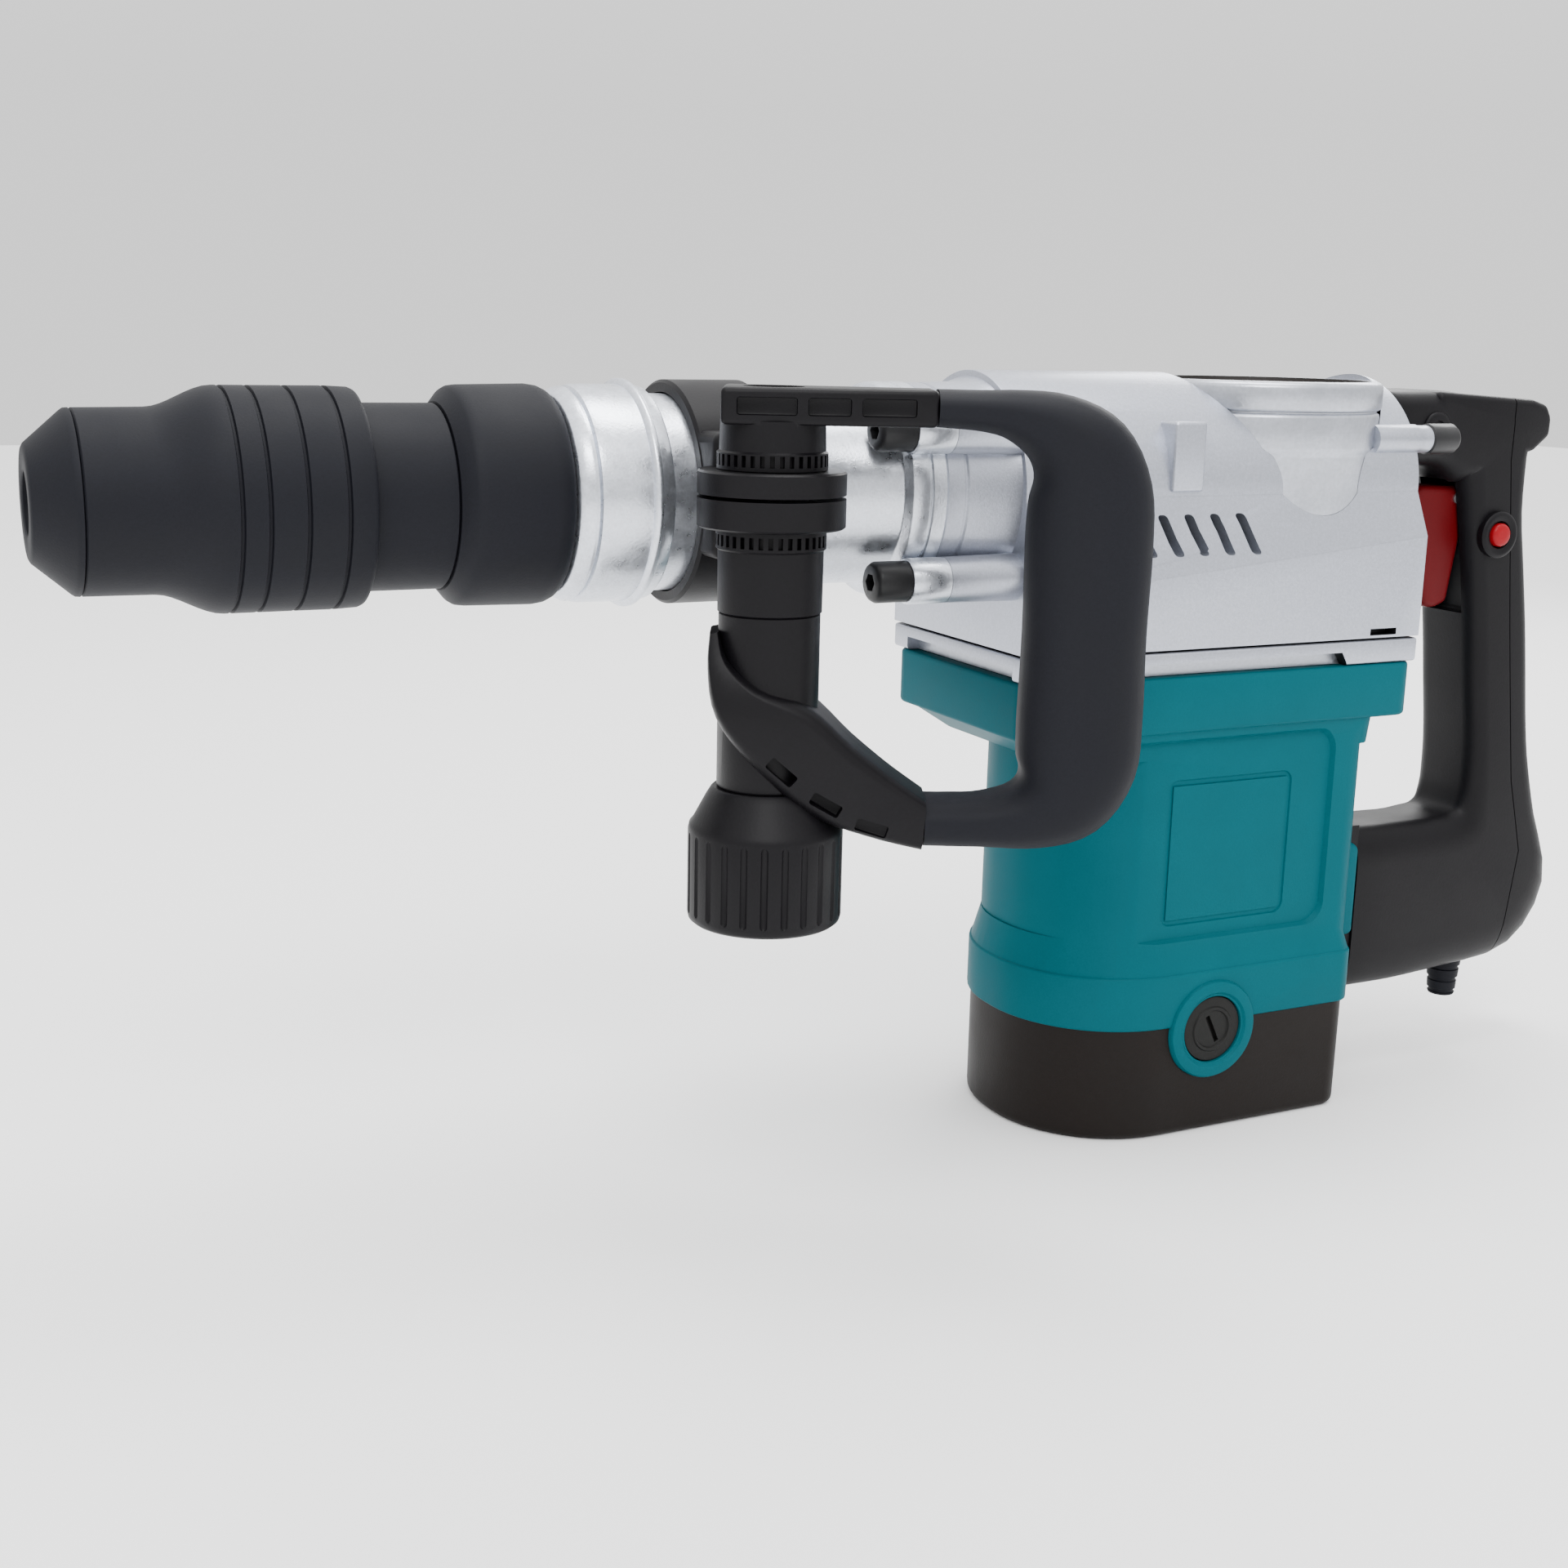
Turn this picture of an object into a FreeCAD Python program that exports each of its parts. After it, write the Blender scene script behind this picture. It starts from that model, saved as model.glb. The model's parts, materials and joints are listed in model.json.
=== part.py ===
import FreeCAD, Part
import math
import os
import Sketcher

# Rotary hammer. The barrel lies along X with its nose at X = 0 and the handle at the back, Z is up.
# Lengths in millimetres, angles in degrees.

Vector = FreeCAD.Vector
Rotation = FreeCAD.Rotation

SIZES = {
    # fits
    "running_gap": 0.05,
    "clear_gap": 0.35,
    "seat_gap": 0.05,
    # nose, release sleeve and neck, from the front to the back
    "tool_bore_radius": 9.1,
    "guide_length": 38,
    "lip_length": 4,
    "shank_stop": 140,
    "shank_taper": 10,
    "bore_relief": 0.3,
    "key_end": 100,
    "key_half_width": 2,
    "key_depth": 2.5,
    "roller_play": 0.2,
    "roller_start": 57,
    "roller_length": 18,
    "roller_radius": 3.8,
    "spring_wire": 1.2,
    "spring_inset": 2.4,
    "spring_turns": 4,
    "nose_face_radius": 16.6,
    "nose_rim_radius": 26.4,
    "nose_chamfer": 11.5,
    "nose_length": 13,
    "sleeve_taper_start": 35.5,
    "sleeve_taper_end": 51.2,
    "sleeve_end": 92,
    "sleeve_radius": 32.8,
    "sleeve_step": 3,
    "sleeve_front_wall": 3.2,
    "sleeve_travel": 12,
    "neck_start": 80,
    "neck_radius": 27.9,
    "neck_end": 116.7,
    "ring_radius": 33.6,
    "ring_end": 151.5,
    "ring_gap": 0.3,
    "ring_front_flat": 121,
    "ring_rear_flat": 146,
    # barrel casting
    "barrel_start": 152,
    "collar_rise": 2.6,
    "collar_taper_end": 156,
    "collar_rib_rise": 2.1,
    "collar_rib_place": 176.3,
    "collar_end": 182,
    "barrel_radius": 31,
    "barrel_bore": 26,
    "bore_start": 158,
    "front_bearing_end": 174,
    "rear_bearing_start": 284,
    "rear_bearing_end": 300,
    "flange_rim": 6,
    "flange_start": 262,
    "flange_end": 276,
    "bolt_offset": 2,
    "bolt_low": -27,
    "bolt_high": 21,
    "bolt_boss_radius": 7.5,
    "bolt_radius": 3,
    "bolt_head": 12,
    # spindle and hammer mechanism
    "holder_radius": 16.8,
    "spindle_radius": 22,
    "spindle_joint": 190,
    "cylinder_radius": 21,
    "cylinder_bore": 17.5,
    "cylinder_end": 385,
    "anvil_bore": 12.05,
    "anvil_seat": 262,
    "anvil_length": 50,
    "anvil_rest_gap": 4,
    "anvil_tip_place": 150,
    "anvil_tip_clearance": 0.6,
    "striker_front": 286,
    "striker_length": 38,
    "piston_front": 330,
    "piston_length": 40,
    "wrist_place": 356,
    "wrist_radius": 5,
    "rod_length": 55,
    "rod_thickness": 10,
    "rod_side_play": 0.5,
    "rod_small_eye": 9,
    "rod_big_eye": 11,
    "rod_beam_half_width": 5,
    "crank_pin_radius": 6,
    "piston_slot_reach": 12,
    # gear housing
    "housing_front": 303,
    "housing_rear": 470,
    "housing_radius": 39.5,
    "housing_half_width": 46.5,
    "housing_wall": 5,
    "housing_bottom": -62,
    "shoulder_drop": 22,
    "crown_wall": 4,
    "rear_wall": 7,
    "vent_start": 353,
    "vent_pitch": 10.8,
    "vent_width": 3.5,
    "vent_low": -20,
    "vent_high": -9,
    "bearing_plate_thickness": 6,
    "crank_bearing_radius": 19,
    "bridge_bearing_radius": 20,
    "shaft_bearing_radius": 14,
    "end_bearing_radius": 12,
    "bridge_top_drop": 10,
    "bridge_bottom_drop": 19,
    # crank
    "crank_place": 425,
    "crank_throw": 14,
    "crank_disc_radius": 24,
    "crank_disc_low": -14,
    "crank_disc_high": -6,
    "crank_shaft_radius": 12,
    "crank_cap_radius": 43.4,
    "crank_cap_low": 27,
    "crank_cap_high": 37.5,
    "tower_radius": 41.5,
    "tower_low": -14,
    "tower_step": 15,
    "tower_wall": 6,
    "cap_plug_depth": 5,
    "cylinder_way": 1.5,
    # gears: the tooth counts set the distances between the shafts
    "spur_module": 1.25,
    "motor_teeth": 10,
    "crank_teeth": 49,
    "counter_teeth": 52,
    "face_module": 1.6,
    "face_pinion_teeth": 10,
    "face_ring_teeth": 40,
    "gear_low": -50,
    "gear_high": -40,
    "counter_shaft_radius": 7,
    "counter_neck_radius": 5.5,
    "face_pinion_rise": 4,
    "face_pinion_length": 7.5,
    "face_tooth_height": 2.85,
    "face_tooth_width": 1.7,
    "face_tooth_length": 5,
    "face_blank_thickness": 8,
    # motor
    "motor_shaft_radius": 5,
    "core_radius": 25,
    "core_low": -150,
    "core_high": -96,
    "air_gap": 0.8,
    "field_radius": 38,
    "fan_radius": 35,
    "fan_low": -84,
    "fan_high": -74,
    "commutator_radius": 15,
    "brush_level": -192.5,
    "brush_half": 5,
    "end_plate_drop": 22,
    "brush_cap_radius": 12.5,
    "brush_boss_radius": 18.5,
    # motor housing
    "body_front_centre": 370,
    "body_rear": 454,
    "body_half_width": 44,
    "collar_low": -84,
    "lip_high": -165,
    "lip_low": -190,
    "lip_half_width": 47.5,
    "cover_low": -232,
    "cover_wall": 3.5,
    "motor_cavity_radius": 39.5,
    "bracket_half_width": 16,
    "bracket_high": -130,
    "bracket_low": -180,
    "bracket_end": 476,
    # rear handle
    "handle_front": 476,
    "handle_half_width": 18,
    "handle_top": 34,
    "handle_wall": 5,
    "handle_low": -200,
    "grip_front": 526,
    "grip_rear": 550,
    "grip_low": -120,
    "trigger_half_width": 8.5,
    "trigger_pivot_x": 519,
    "trigger_pivot_z": -7,
    "trigger_pin_radius": 2,
    "button_x": 532.5,
    "button_z": -20.4,
    "button_radius": 4.5,
    "button_depth": 5,
    "button_travel": 2.5,
    "bezel_radius": 9,
    "guard_x": 545,
    "guard_radius": 8,
    "cord_bore": 4.2,
    "guard_low": -214,
    # side handle
    "clamp_start": 190.5,
    "clamp_end": 217.5,
    "clamp_wall": 4.4,
    "post_x": 203.8,
    "post_gap": 2.6,
    "post_radius": 17,
    "lug_rim": 5.3,
    "lug_low": -6,
    "lug_high": 11,
    "lug_split": 3.3,
    "swing_angle": 25.4,
    "arm_top": 35.4,
    "arm_thickness": 11,
    "arm_half_width": 11,
    "grip_start": 48,
    "grip_inner": 76,
    "grip_outer": 114,
    "grip_bottom": -102,
    "grip_half_width": 15,
    "core_half_width": 6,
    "tube_low": -84.7,
    "knob_radius": 24,
    "knob_shoulder": -95.6,
    "knob_low": -128,
    "bolt_head_radius": 8.7,
    "bolt_head_height": 5,
    "head_seat_radius": 9,
    "head_seat_depth": 6,
    "bolt_thread_start": 12,
    "tie_bolt_radius": 5,
}


class Size:
    """A number that also knows the spreadsheet expression it comes from."""

    def __init__(self, text, value):
        self.text = text
        self.value = float(value)

    def __float__(self):
        return self.value

    def __add__(self, other):
        other = as_size(other)
        return Size(f"({self.text} + {other.text})", self.value + other.value)

    def __sub__(self, other):
        other = as_size(other)
        return Size(f"({self.text} - {other.text})", self.value - other.value)

    def __mul__(self, other):
        other = as_size(other)
        return Size(f"({self.text} * {other.text})", self.value * other.value)

    def __truediv__(self, other):
        other = as_size(other)
        return Size(f"({self.text} / {other.text})", self.value / other.value)

    def __neg__(self):
        return Size(f"(-1 * {self.text})", -self.value)

    __radd__ = __add__
    __rmul__ = __mul__

    def __rsub__(self, other):
        return as_size(other) - self


def as_size(number):
    return number if isinstance(number, Size) else Size(f"({number})", number)


class Sheet:
    """s.name is the size called name in the spreadsheet."""

    def __getattr__(self, name):
        return Size(f"sizes.{name}", SIZES[name])


s = Sheet()
doc = FreeCAD.newDocument("rotary_hammer")
nodes = []
counter = iter(range(1, 100000))


def make_sheet():
    sheet = doc.addObject("Spreadsheet::Sheet", "sizes")
    for row, (name, value) in enumerate(SIZES.items(), start=1):
        sheet.set(f"A{row}", name)
        sheet.set(f"B{row}", str(value))
        sheet.setAlias(f"B{row}", name)
    doc.recompute()


def add(kind, name):
    return doc.addObject(kind, f"{name}_{next(counter)}")


def bind(obj, prop, value):
    value = as_size(value)
    if prop.startswith("Placement"):
        obj.setExpression(prop, value.text)
        return
    setattr(obj, prop, value.value)
    obj.setExpression(prop, value.text)


def put(obj, x=0, y=0, z=0, rotation=None):
    """Place an object, with its place bound to the spreadsheet."""
    x, y, z = as_size(x), as_size(y), as_size(z)
    obj.Placement = FreeCAD.Placement(Vector(x.value, y.value, z.value), rotation or Rotation())
    bind(obj, "Placement.Base.x", x)
    bind(obj, "Placement.Base.y", y)
    bind(obj, "Placement.Base.z", z)
    return obj


def box(low_x, high_x, low_y, high_y, low_z, high_z):
    obj = add("Part::Box", "block")
    bind(obj, "Length", as_size(high_x) - low_x)
    bind(obj, "Width", as_size(high_y) - low_y)
    bind(obj, "Height", as_size(high_z) - low_z)
    return put(obj, low_x, low_y, low_z)


def wide_box(low_x, high_x, half_width, low_z, high_z):
    half_width = as_size(half_width)
    return box(low_x, high_x, -half_width, half_width, low_z, high_z)


def rod_z(radius, low, high, x=0, y=0):
    obj = add("Part::Cylinder", "upright")
    bind(obj, "Radius", radius)
    bind(obj, "Height", as_size(high) - low)
    return put(obj, x, y, low)


def rod_x(radius, low, high, y=0, z=0):
    obj = add("Part::Cylinder", "lengthwise")
    bind(obj, "Radius", radius)
    bind(obj, "Height", as_size(high) - low)
    return put(obj, low, y, z, Rotation(Vector(0, 1, 0), 90))


def rod_y(radius, low, high, x=0, z=0):
    """A cylinder along Y: it runs from high down to low because its own axis points to -Y."""
    obj = add("Part::Cylinder", "crosswise")
    bind(obj, "Radius", radius)
    bind(obj, "Height", as_size(high) - low)
    return put(obj, x, high, z, Rotation(Vector(1, 0, 0), 90))


def cone_z(low_radius, high_radius, low, high, x=0, y=0):
    obj = add("Part::Cone", "taper")
    bind(obj, "Radius1", low_radius)
    bind(obj, "Radius2", high_radius)
    bind(obj, "Height", as_size(high) - low)
    return put(obj, x, y, low)


def fuse(*shapes):
    obj = add("Part::MultiFuse", "joined")
    obj.Shapes = list(shapes)
    return obj


def cut(base, *tools):
    obj = add("Part::Cut", "cut")
    obj.Base = base
    obj.Tool = tools[0] if len(tools) == 1 else fuse(*tools)
    return obj


def group(*shapes):
    """Several separate solids kept in one node."""
    obj = add("Part::Compound", "set")
    obj.Links = list(shapes)
    return obj


def node(label, obj):
    obj.Label = label
    nodes.append(obj)
    return obj


def outline(body, plane_role, points, offset=0):
    """A closed sketch outline with every corner tied to the spreadsheet."""
    sketch = body.newObject("Sketcher::SketchObject", f"outline_{next(counter)}")
    plane = next(f for f in body.Origin.OriginFeatures if f.Role == plane_role)
    sketch.AttachmentSupport = [(plane, "")]
    sketch.MapMode = "FlatFace"
    sketch.setExpression("AttachmentOffset.Base.z", as_size(offset).text)
    corners = [(as_size(across), as_size(up)) for across, up in points]
    spots = [Vector(across.value, up.value, 0) for across, up in corners]
    count = len(spots)
    for i in range(count):
        sketch.addGeometry(Part.LineSegment(spots[i], spots[(i + 1) % count]), False)
    for i in range(count):
        sketch.addConstraint(Sketcher.Constraint("Coincident", i, 2, (i + 1) % count, 1))
    for i, corner in enumerate(corners):
        for kind, value in zip(("DistanceX", "DistanceY"), corner):
            k = sketch.addConstraint(Sketcher.Constraint(kind, -1, 1, i, 1, value.value))
            sketch.setExpression(f"Constraints[{k}]", value.text)
    return sketch


def turned(points, axis="H_Axis", x=0, y=0):
    """A body turned round the X axis (H_Axis) or round an upright axis at x, y (V_Axis)."""
    body = add("PartDesign::Body", "turned")
    sketch = outline(body, "XZ_Plane", points)
    turn = body.newObject("PartDesign::Revolution", f"turn_{next(counter)}")
    turn.Profile = sketch
    turn.ReferenceAxis = (sketch, [axis])
    turn.Angle = 360
    return put(body, x, y, 0)


def side_profile(points, half_width, x=0, y=0, angle=0):
    """A body whose outline lies in the XZ plane, as thick each side of it as half_width."""
    body = add("PartDesign::Body", "profile")
    sketch = outline(body, "XZ_Plane", points)
    pad = body.newObject("PartDesign::Pad", f"pad_{next(counter)}")
    pad.Profile = sketch
    bind(pad, "Length", 2 * as_size(half_width))
    pad.Midplane = True
    put(body, x, y, 0, Rotation(Vector(0, 0, 1), -float(angle)))
    if isinstance(angle, Size):
        body.setExpression("Placement.Rotation.Angle", angle.text)
        body.setExpression("Placement.Rotation.Axis.z", "-1")
    return body


def cross_profile(points, low, high):
    """A body whose outline lies across the X axis, from low to high along it."""
    body = add("PartDesign::Body", "section")
    sketch = outline(body, "YZ_Plane", points, low)
    pad = body.newObject("PartDesign::Pad", f"pad_{next(counter)}")
    pad.Profile = sketch
    bind(pad, "Length", as_size(high) - low)
    return put(body)


def ring_x(inner, outer, low, high):
    return turned([(low, inner), (high, inner), (high, outer), (low, outer)])


def ring_z(inner, outer, low, high, x, y=0):
    return turned([(inner, low), (outer, low), (outer, high), (inner, high)], "V_Axis", x, y)


def gear_outline(teeth, module, tooth_at):
    """Corner points of a spur gear with straight-sided, slightly slim teeth."""
    pitch = teeth * module / 2
    tip, root = pitch + 0.9 * module, pitch - 1.15 * module
    half_pitch = math.pi / teeth
    points = []
    for k in range(teeth):
        middle = tooth_at + 2 * half_pitch * k
        for radius, share in ((root, -0.56), (tip, -0.2), (tip, 0.2), (root, 0.56)):
            turn = middle + share * half_pitch
            points.append(Vector(radius * math.cos(turn), radius * math.sin(turn), 0))
    return points


def gear(teeth, module, tooth_at, low, high, x):
    """A spur gear on an upright shaft at x; tooth_at is the angle of one tooth, in degrees."""
    points = gear_outline(int(teeth.value), module.value, math.radians(tooth_at))
    face = Part.Face(Part.makePolygon(points + points[:1]))
    obj = add("Part::Feature", "gear")
    obj.Shape = face.extrude(Vector(0, 0, high.value - low.value))
    return put(obj, x, 0, low)


# --- places worked out from the gears ---

def shaft_distance(first, second):
    return s.spur_module * (first + second) / 2


motor_place = s.crank_place - shaft_distance(s.motor_teeth, s.crank_teeth)
counter_place = motor_place - shaft_distance(s.motor_teeth, s.counter_teeth)
face_pinion_radius = s.face_module * s.face_pinion_teeth / 2
face_ring_radius = s.face_module * s.face_ring_teeth / 2
face_pitch_plane = counter_place - face_pinion_radius



# --- places worked out from the barrel and the post ---

flange_radius = s.barrel_radius + s.flange_rim
collar_radius = s.barrel_radius + s.collar_rise
bolt_side = s.barrel_radius + s.bolt_offset
clamp_radius = s.barrel_radius + s.clamp_wall
lug_radius = s.post_radius + s.lug_rim
post_y = -1 * (clamp_radius + s.post_radius + s.post_gap)


def bolt_places():
    return [(side * bolt_side, height) for side in (-1, 1) for height in (s.bolt_low, s.bolt_high)]


# --- nose and release sleeve ---

def make_nose():
    bore, rim = s.tool_bore_radius, s.nose_rim_radius
    node("dust_cap", turned([(0, bore), (0, s.nose_face_radius), (s.nose_chamfer, rim), (s.nose_length, rim),
                             (s.nose_length, s.holder_radius), (s.lip_length, s.holder_radius),
                             (s.lip_length, bore)]))
    cavity = s.neck_radius + s.clear_gap
    inner = s.holder_radius + s.running_gap
    node("release_sleeve", turned([
        (s.nose_length, inner), (s.nose_length, rim), (s.sleeve_taper_start, rim + 0.2),
        (s.sleeve_taper_end, s.sleeve_radius), (s.sleeve_end, s.sleeve_radius - 0.4), (s.sleeve_end, cavity),
        (s.sleeve_taper_end, cavity), (s.sleeve_taper_end, cavity - s.sleeve_step),
        (s.sleeve_taper_start, s.holder_radius + s.sleeve_front_wall), (s.sleeve_taper_start, inner)]))


def make_holder():
    bore, relief = s.tool_bore_radius, s.tool_bore_radius + s.bore_relief
    tube = turned([(s.lip_length, bore), (s.lip_length, s.holder_radius), (s.neck_start, s.holder_radius),
                   (s.neck_start, s.spindle_radius), (s.spindle_joint, s.spindle_radius),
                   (s.spindle_joint, s.anvil_bore), (s.shank_stop + s.shank_taper, s.anvil_bore),
                   (s.shank_stop, relief), (s.guide_length, relief), (s.guide_length, bore)])
    keys = wide_box(s.guide_length, s.key_end, s.key_half_width, -bore - s.key_depth, bore + s.key_depth)
    slot_half, reach = s.roller_radius + s.roller_play, s.holder_radius + 1
    slots = box(s.roller_start - 1, s.roller_start + s.roller_length + 1, -reach, reach, -slot_half, slot_half)
    node("tool_holder", cut(tube, keys, slots))
    rollers = [rod_x(s.roller_radius, s.roller_start, s.roller_start + s.roller_length,
                     side * (s.holder_radius - slot_half), 0) for side in (-1, 1)]
    node("locking_rollers", group(*rollers))
    node("neck_shroud", ring_x(s.spindle_radius, s.neck_radius, s.neck_start + 2, s.neck_end))


def make_release_spring():
    """The spring at its pressed length: its back end bears on the neck shroud."""
    coil, wire, turns = s.neck_radius - s.spring_inset, s.spring_wire, s.spring_turns.value
    low = s.sleeve_taper_end + s.sleeve_travel + wire + 0.4
    high = s.neck_start + 2 - wire - 0.1
    pitch = (high.value - low.value) / turns
    helix = Part.makeHelix(pitch, pitch * turns, coil.value)
    section = Part.Wire(Part.makeCircle(wire.value, Vector(coil.value, 0, 0), Vector(0, 1, 0)))
    obj = add("Part::Feature", "coil")
    obj.Shape = Part.Wire(helix).makePipeShell([section], True, True)
    node("release_spring", put(obj, low, 0, 0, Rotation(Vector(0, 1, 0), 90)))


def make_mode_ring():
    inner = s.spindle_radius + s.clear_gap
    front = s.neck_end + s.ring_gap
    node("mode_ring", turned([(front, inner), (front, s.neck_radius), (s.ring_front_flat, s.ring_radius - 0.7),
                              (s.ring_rear_flat, s.ring_radius), (s.ring_end, s.ring_radius - 3.4),
                              (s.ring_end, inner)]))


# --- barrel ---

def make_barrel():
    bore, tube, collar = s.barrel_bore, s.barrel_radius, collar_radius
    rib, rib_place = collar + s.collar_rib_rise, s.collar_rib_place
    start, end = s.flange_start, s.flange_end
    casting = turned([
        (s.barrel_start, bore - 1), (s.barrel_start, collar - 3.4), (s.collar_taper_end, collar),
        (rib_place - 2, collar), (rib_place - 1, rib), (rib_place + 1, rib), (rib_place + 2, collar),
        (s.collar_end, collar), (s.collar_end + 1, tube), (start, tube), (start, flange_radius),
        (end, flange_radius), (end, bore), (s.bore_start, bore), (s.bore_start, bore - 1)])
    bosses = [rod_x(s.bolt_boss_radius, start, end, y, z) for y, z in bolt_places()]
    holes = [rod_x(s.bolt_radius + s.seat_gap, start - 1, end + 1, y, z) for y, z in bolt_places()]
    node("barrel_housing", cut(fuse(casting, *bosses), *holes))
    bolts = [fuse(rod_x(s.bolt_boss_radius - 0.5, start - s.bolt_head, start, y, z),
                  rod_x(s.bolt_radius, start, s.housing_front - 4, y, z)) for y, z in bolt_places()]
    node("barrel_bolts", group(*bolts))
    shaft = s.spindle_radius + s.running_gap
    front = ring_x(shaft, bore, s.bore_start, s.front_bearing_end)
    rear = ring_x(s.cylinder_radius + s.running_gap, bore, s.rear_bearing_start, s.rear_bearing_end)
    node("spindle_bearings", group(front, rear))
    node("front_seal", ring_x(shaft, bore - 1, s.barrel_start + 0.5, s.bore_start - 0.5))


# --- gear housing ---

def make_gear_housing():
    wide, low, wall = s.housing_half_width, s.housing_bottom, s.housing_wall
    front, rear, radius = s.housing_front, s.housing_rear, s.housing_radius
    shell = cross_profile([(radius, 0), (wide, -s.shoulder_drop), (wide, low), (-wide, low),
                           (-wide, -s.shoulder_drop), (-radius, 0)], front, rear)
    bosses = [rod_x(s.bolt_boss_radius, s.flange_end, front + 6, y, z) for y, z in bolt_places()]
    neck = rod_x(flange_radius - 1, s.flange_end, front)
    outside = fuse(shell, rod_x(radius, front, rear), neck, *bosses)
    inner_rear = rear - s.rear_wall
    bearing_bore = rod_x(s.barrel_bore, s.flange_end - 1, front + 8)
    upper = rod_x(radius - s.crown_wall, front + wall, inner_rear)
    lower = wide_box(front + wall, inner_rear, wide - wall, low - 1, -s.shoulder_drop)
    middle = wide_box(front + wall, inner_rear, radius - wall, -s.shoulder_drop - 1, 0)
    tower_seat = fuse(
        rod_z(s.tower_radius + s.seat_gap, s.tower_low, s.tower_step, s.crank_place),
        cone_z(s.tower_radius + 1, s.crank_cap_radius + 0.3, s.tower_step, s.crank_cap_low, s.crank_place),
        rod_z(s.crank_cap_radius + 0.3, s.crank_cap_low, radius + 2, s.crank_place))
    holes = [rod_x(s.bolt_radius + s.seat_gap, s.flange_end - 1, front - 3, y, z) for y, z in bolt_places()]
    vents = []
    for i in range(5):
        start = s.vent_start + i * s.vent_pitch
        vents.append(wide_box(start, start + s.vent_width, wide + 1, s.vent_low, s.vent_high))
    node("gear_housing", cut(outside, bearing_bore, upper, lower, middle, tower_seat, *holes, *vents))


def make_crank_tower():
    inner, radius = s.tower_radius - s.tower_wall, s.tower_radius
    ring = turned([(inner, s.tower_low), (radius, s.tower_low), (radius, s.tower_step),
                   (radius + 0.6, s.tower_step), (s.crank_cap_radius, s.crank_cap_low),
                   (inner, s.crank_cap_low)], "V_Axis", s.crank_place)
    window = rod_x(s.cylinder_radius + s.cylinder_way, s.crank_place - radius - 3, s.crank_place)
    node("crank_tower", cut(ring, window))
    cap = fuse(rod_z(s.crank_cap_radius, s.crank_cap_low, s.crank_cap_high, s.crank_place),
               rod_z(inner - s.clear_gap, s.crank_cap_low - s.cap_plug_depth, s.crank_cap_low, s.crank_place))
    node("crank_cap", cap)


def make_bearing_plate():
    wide = s.housing_half_width - s.housing_wall - s.seat_gap
    low_x = s.housing_front + s.housing_wall + s.seat_gap
    high_x = s.housing_rear - s.rear_wall - s.seat_gap
    crank_hub, bridge_hub, hub, thick = (s.crank_bearing_radius, s.bridge_bearing_radius, s.shaft_bearing_radius,
                                         s.bearing_plate_thickness)
    plate = wide_box(low_x, high_x, wide, s.housing_bottom, s.housing_bottom + thick)
    crank_hole = rod_z(crank_hub, s.housing_bottom - 1, s.gear_low, s.crank_place)
    counter_hole = rod_z(hub, s.housing_bottom - 1, s.gear_low, counter_place)
    motor_hole = rod_z(hub, s.housing_bottom - 1, s.gear_low, motor_place)
    node("bearing_plate", cut(plate, crank_hole, counter_hole, motor_hole))
    top = s.gear_low - 1
    node("countershaft_bearing",
         ring_z(s.counter_shaft_radius + s.running_gap, hub, s.housing_bottom, top, counter_place))
    shaft = s.motor_shaft_radius + s.running_gap
    plate_low = s.brush_level - s.end_plate_drop
    upper = ring_z(shaft, hub, s.housing_bottom - thick, s.housing_bottom + thick, motor_place)
    lower = ring_z(shaft, s.end_bearing_radius, plate_low - 8, plate_low + 2, motor_place)
    node("armature_bearings", group(upper, lower))
    bridge_low, bridge_high = s.crank_disc_low - s.bridge_bottom_drop, s.crank_disc_low - s.bridge_top_drop
    bridge = wide_box(motor_place, high_x, wide, bridge_low, bridge_high)
    node("bearing_bridge", cut(bridge, rod_z(bridge_hub, bridge_low - 1, bridge_high + 1, s.crank_place)))
    crank_shaft = s.crank_shaft_radius + s.running_gap
    node("crank_bearings", group(ring_z(crank_shaft, crank_hub, s.housing_bottom, top, s.crank_place),
                                 ring_z(crank_shaft, bridge_hub, bridge_low, bridge_high, s.crank_place)))


# --- hammer mechanism ---

def make_cylinder():
    bore, radius = s.cylinder_bore, s.cylinder_radius
    node("cylinder", turned([(s.spindle_joint, s.anvil_bore), (s.spindle_joint, radius), (s.cylinder_end, radius),
                             (s.cylinder_end, bore), (s.anvil_seat, bore), (s.anvil_seat, s.anvil_bore)]))
    node("striker", rod_x(bore - s.running_gap, s.striker_front, s.striker_front + s.striker_length))
    anvil_radius = s.anvil_bore - s.running_gap
    rear = s.anvil_seat - s.anvil_rest_gap
    node("impact_bolt", fuse(rod_x(anvil_radius, rear - s.anvil_length, rear),
                             rod_x(s.tool_bore_radius - s.anvil_tip_clearance, s.anvil_tip_place, rear - s.anvil_length)))
    body = rod_x(bore - s.running_gap, s.piston_front, s.piston_front + s.piston_length)
    slot_half = s.rod_thickness / 2 + s.rod_side_play
    slot = box(s.wrist_place - s.piston_slot_reach, s.piston_front + s.piston_length + 1, -bore, bore,
               -slot_half, slot_half)
    pin_hole = rod_z(s.wrist_radius + s.running_gap, -bore - 1, bore + 1, s.wrist_place)
    node("piston", cut(body, slot, pin_hole))
    node("wrist_pin", rod_z(s.wrist_radius, -bore + 2, bore - 2, s.wrist_place))


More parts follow.
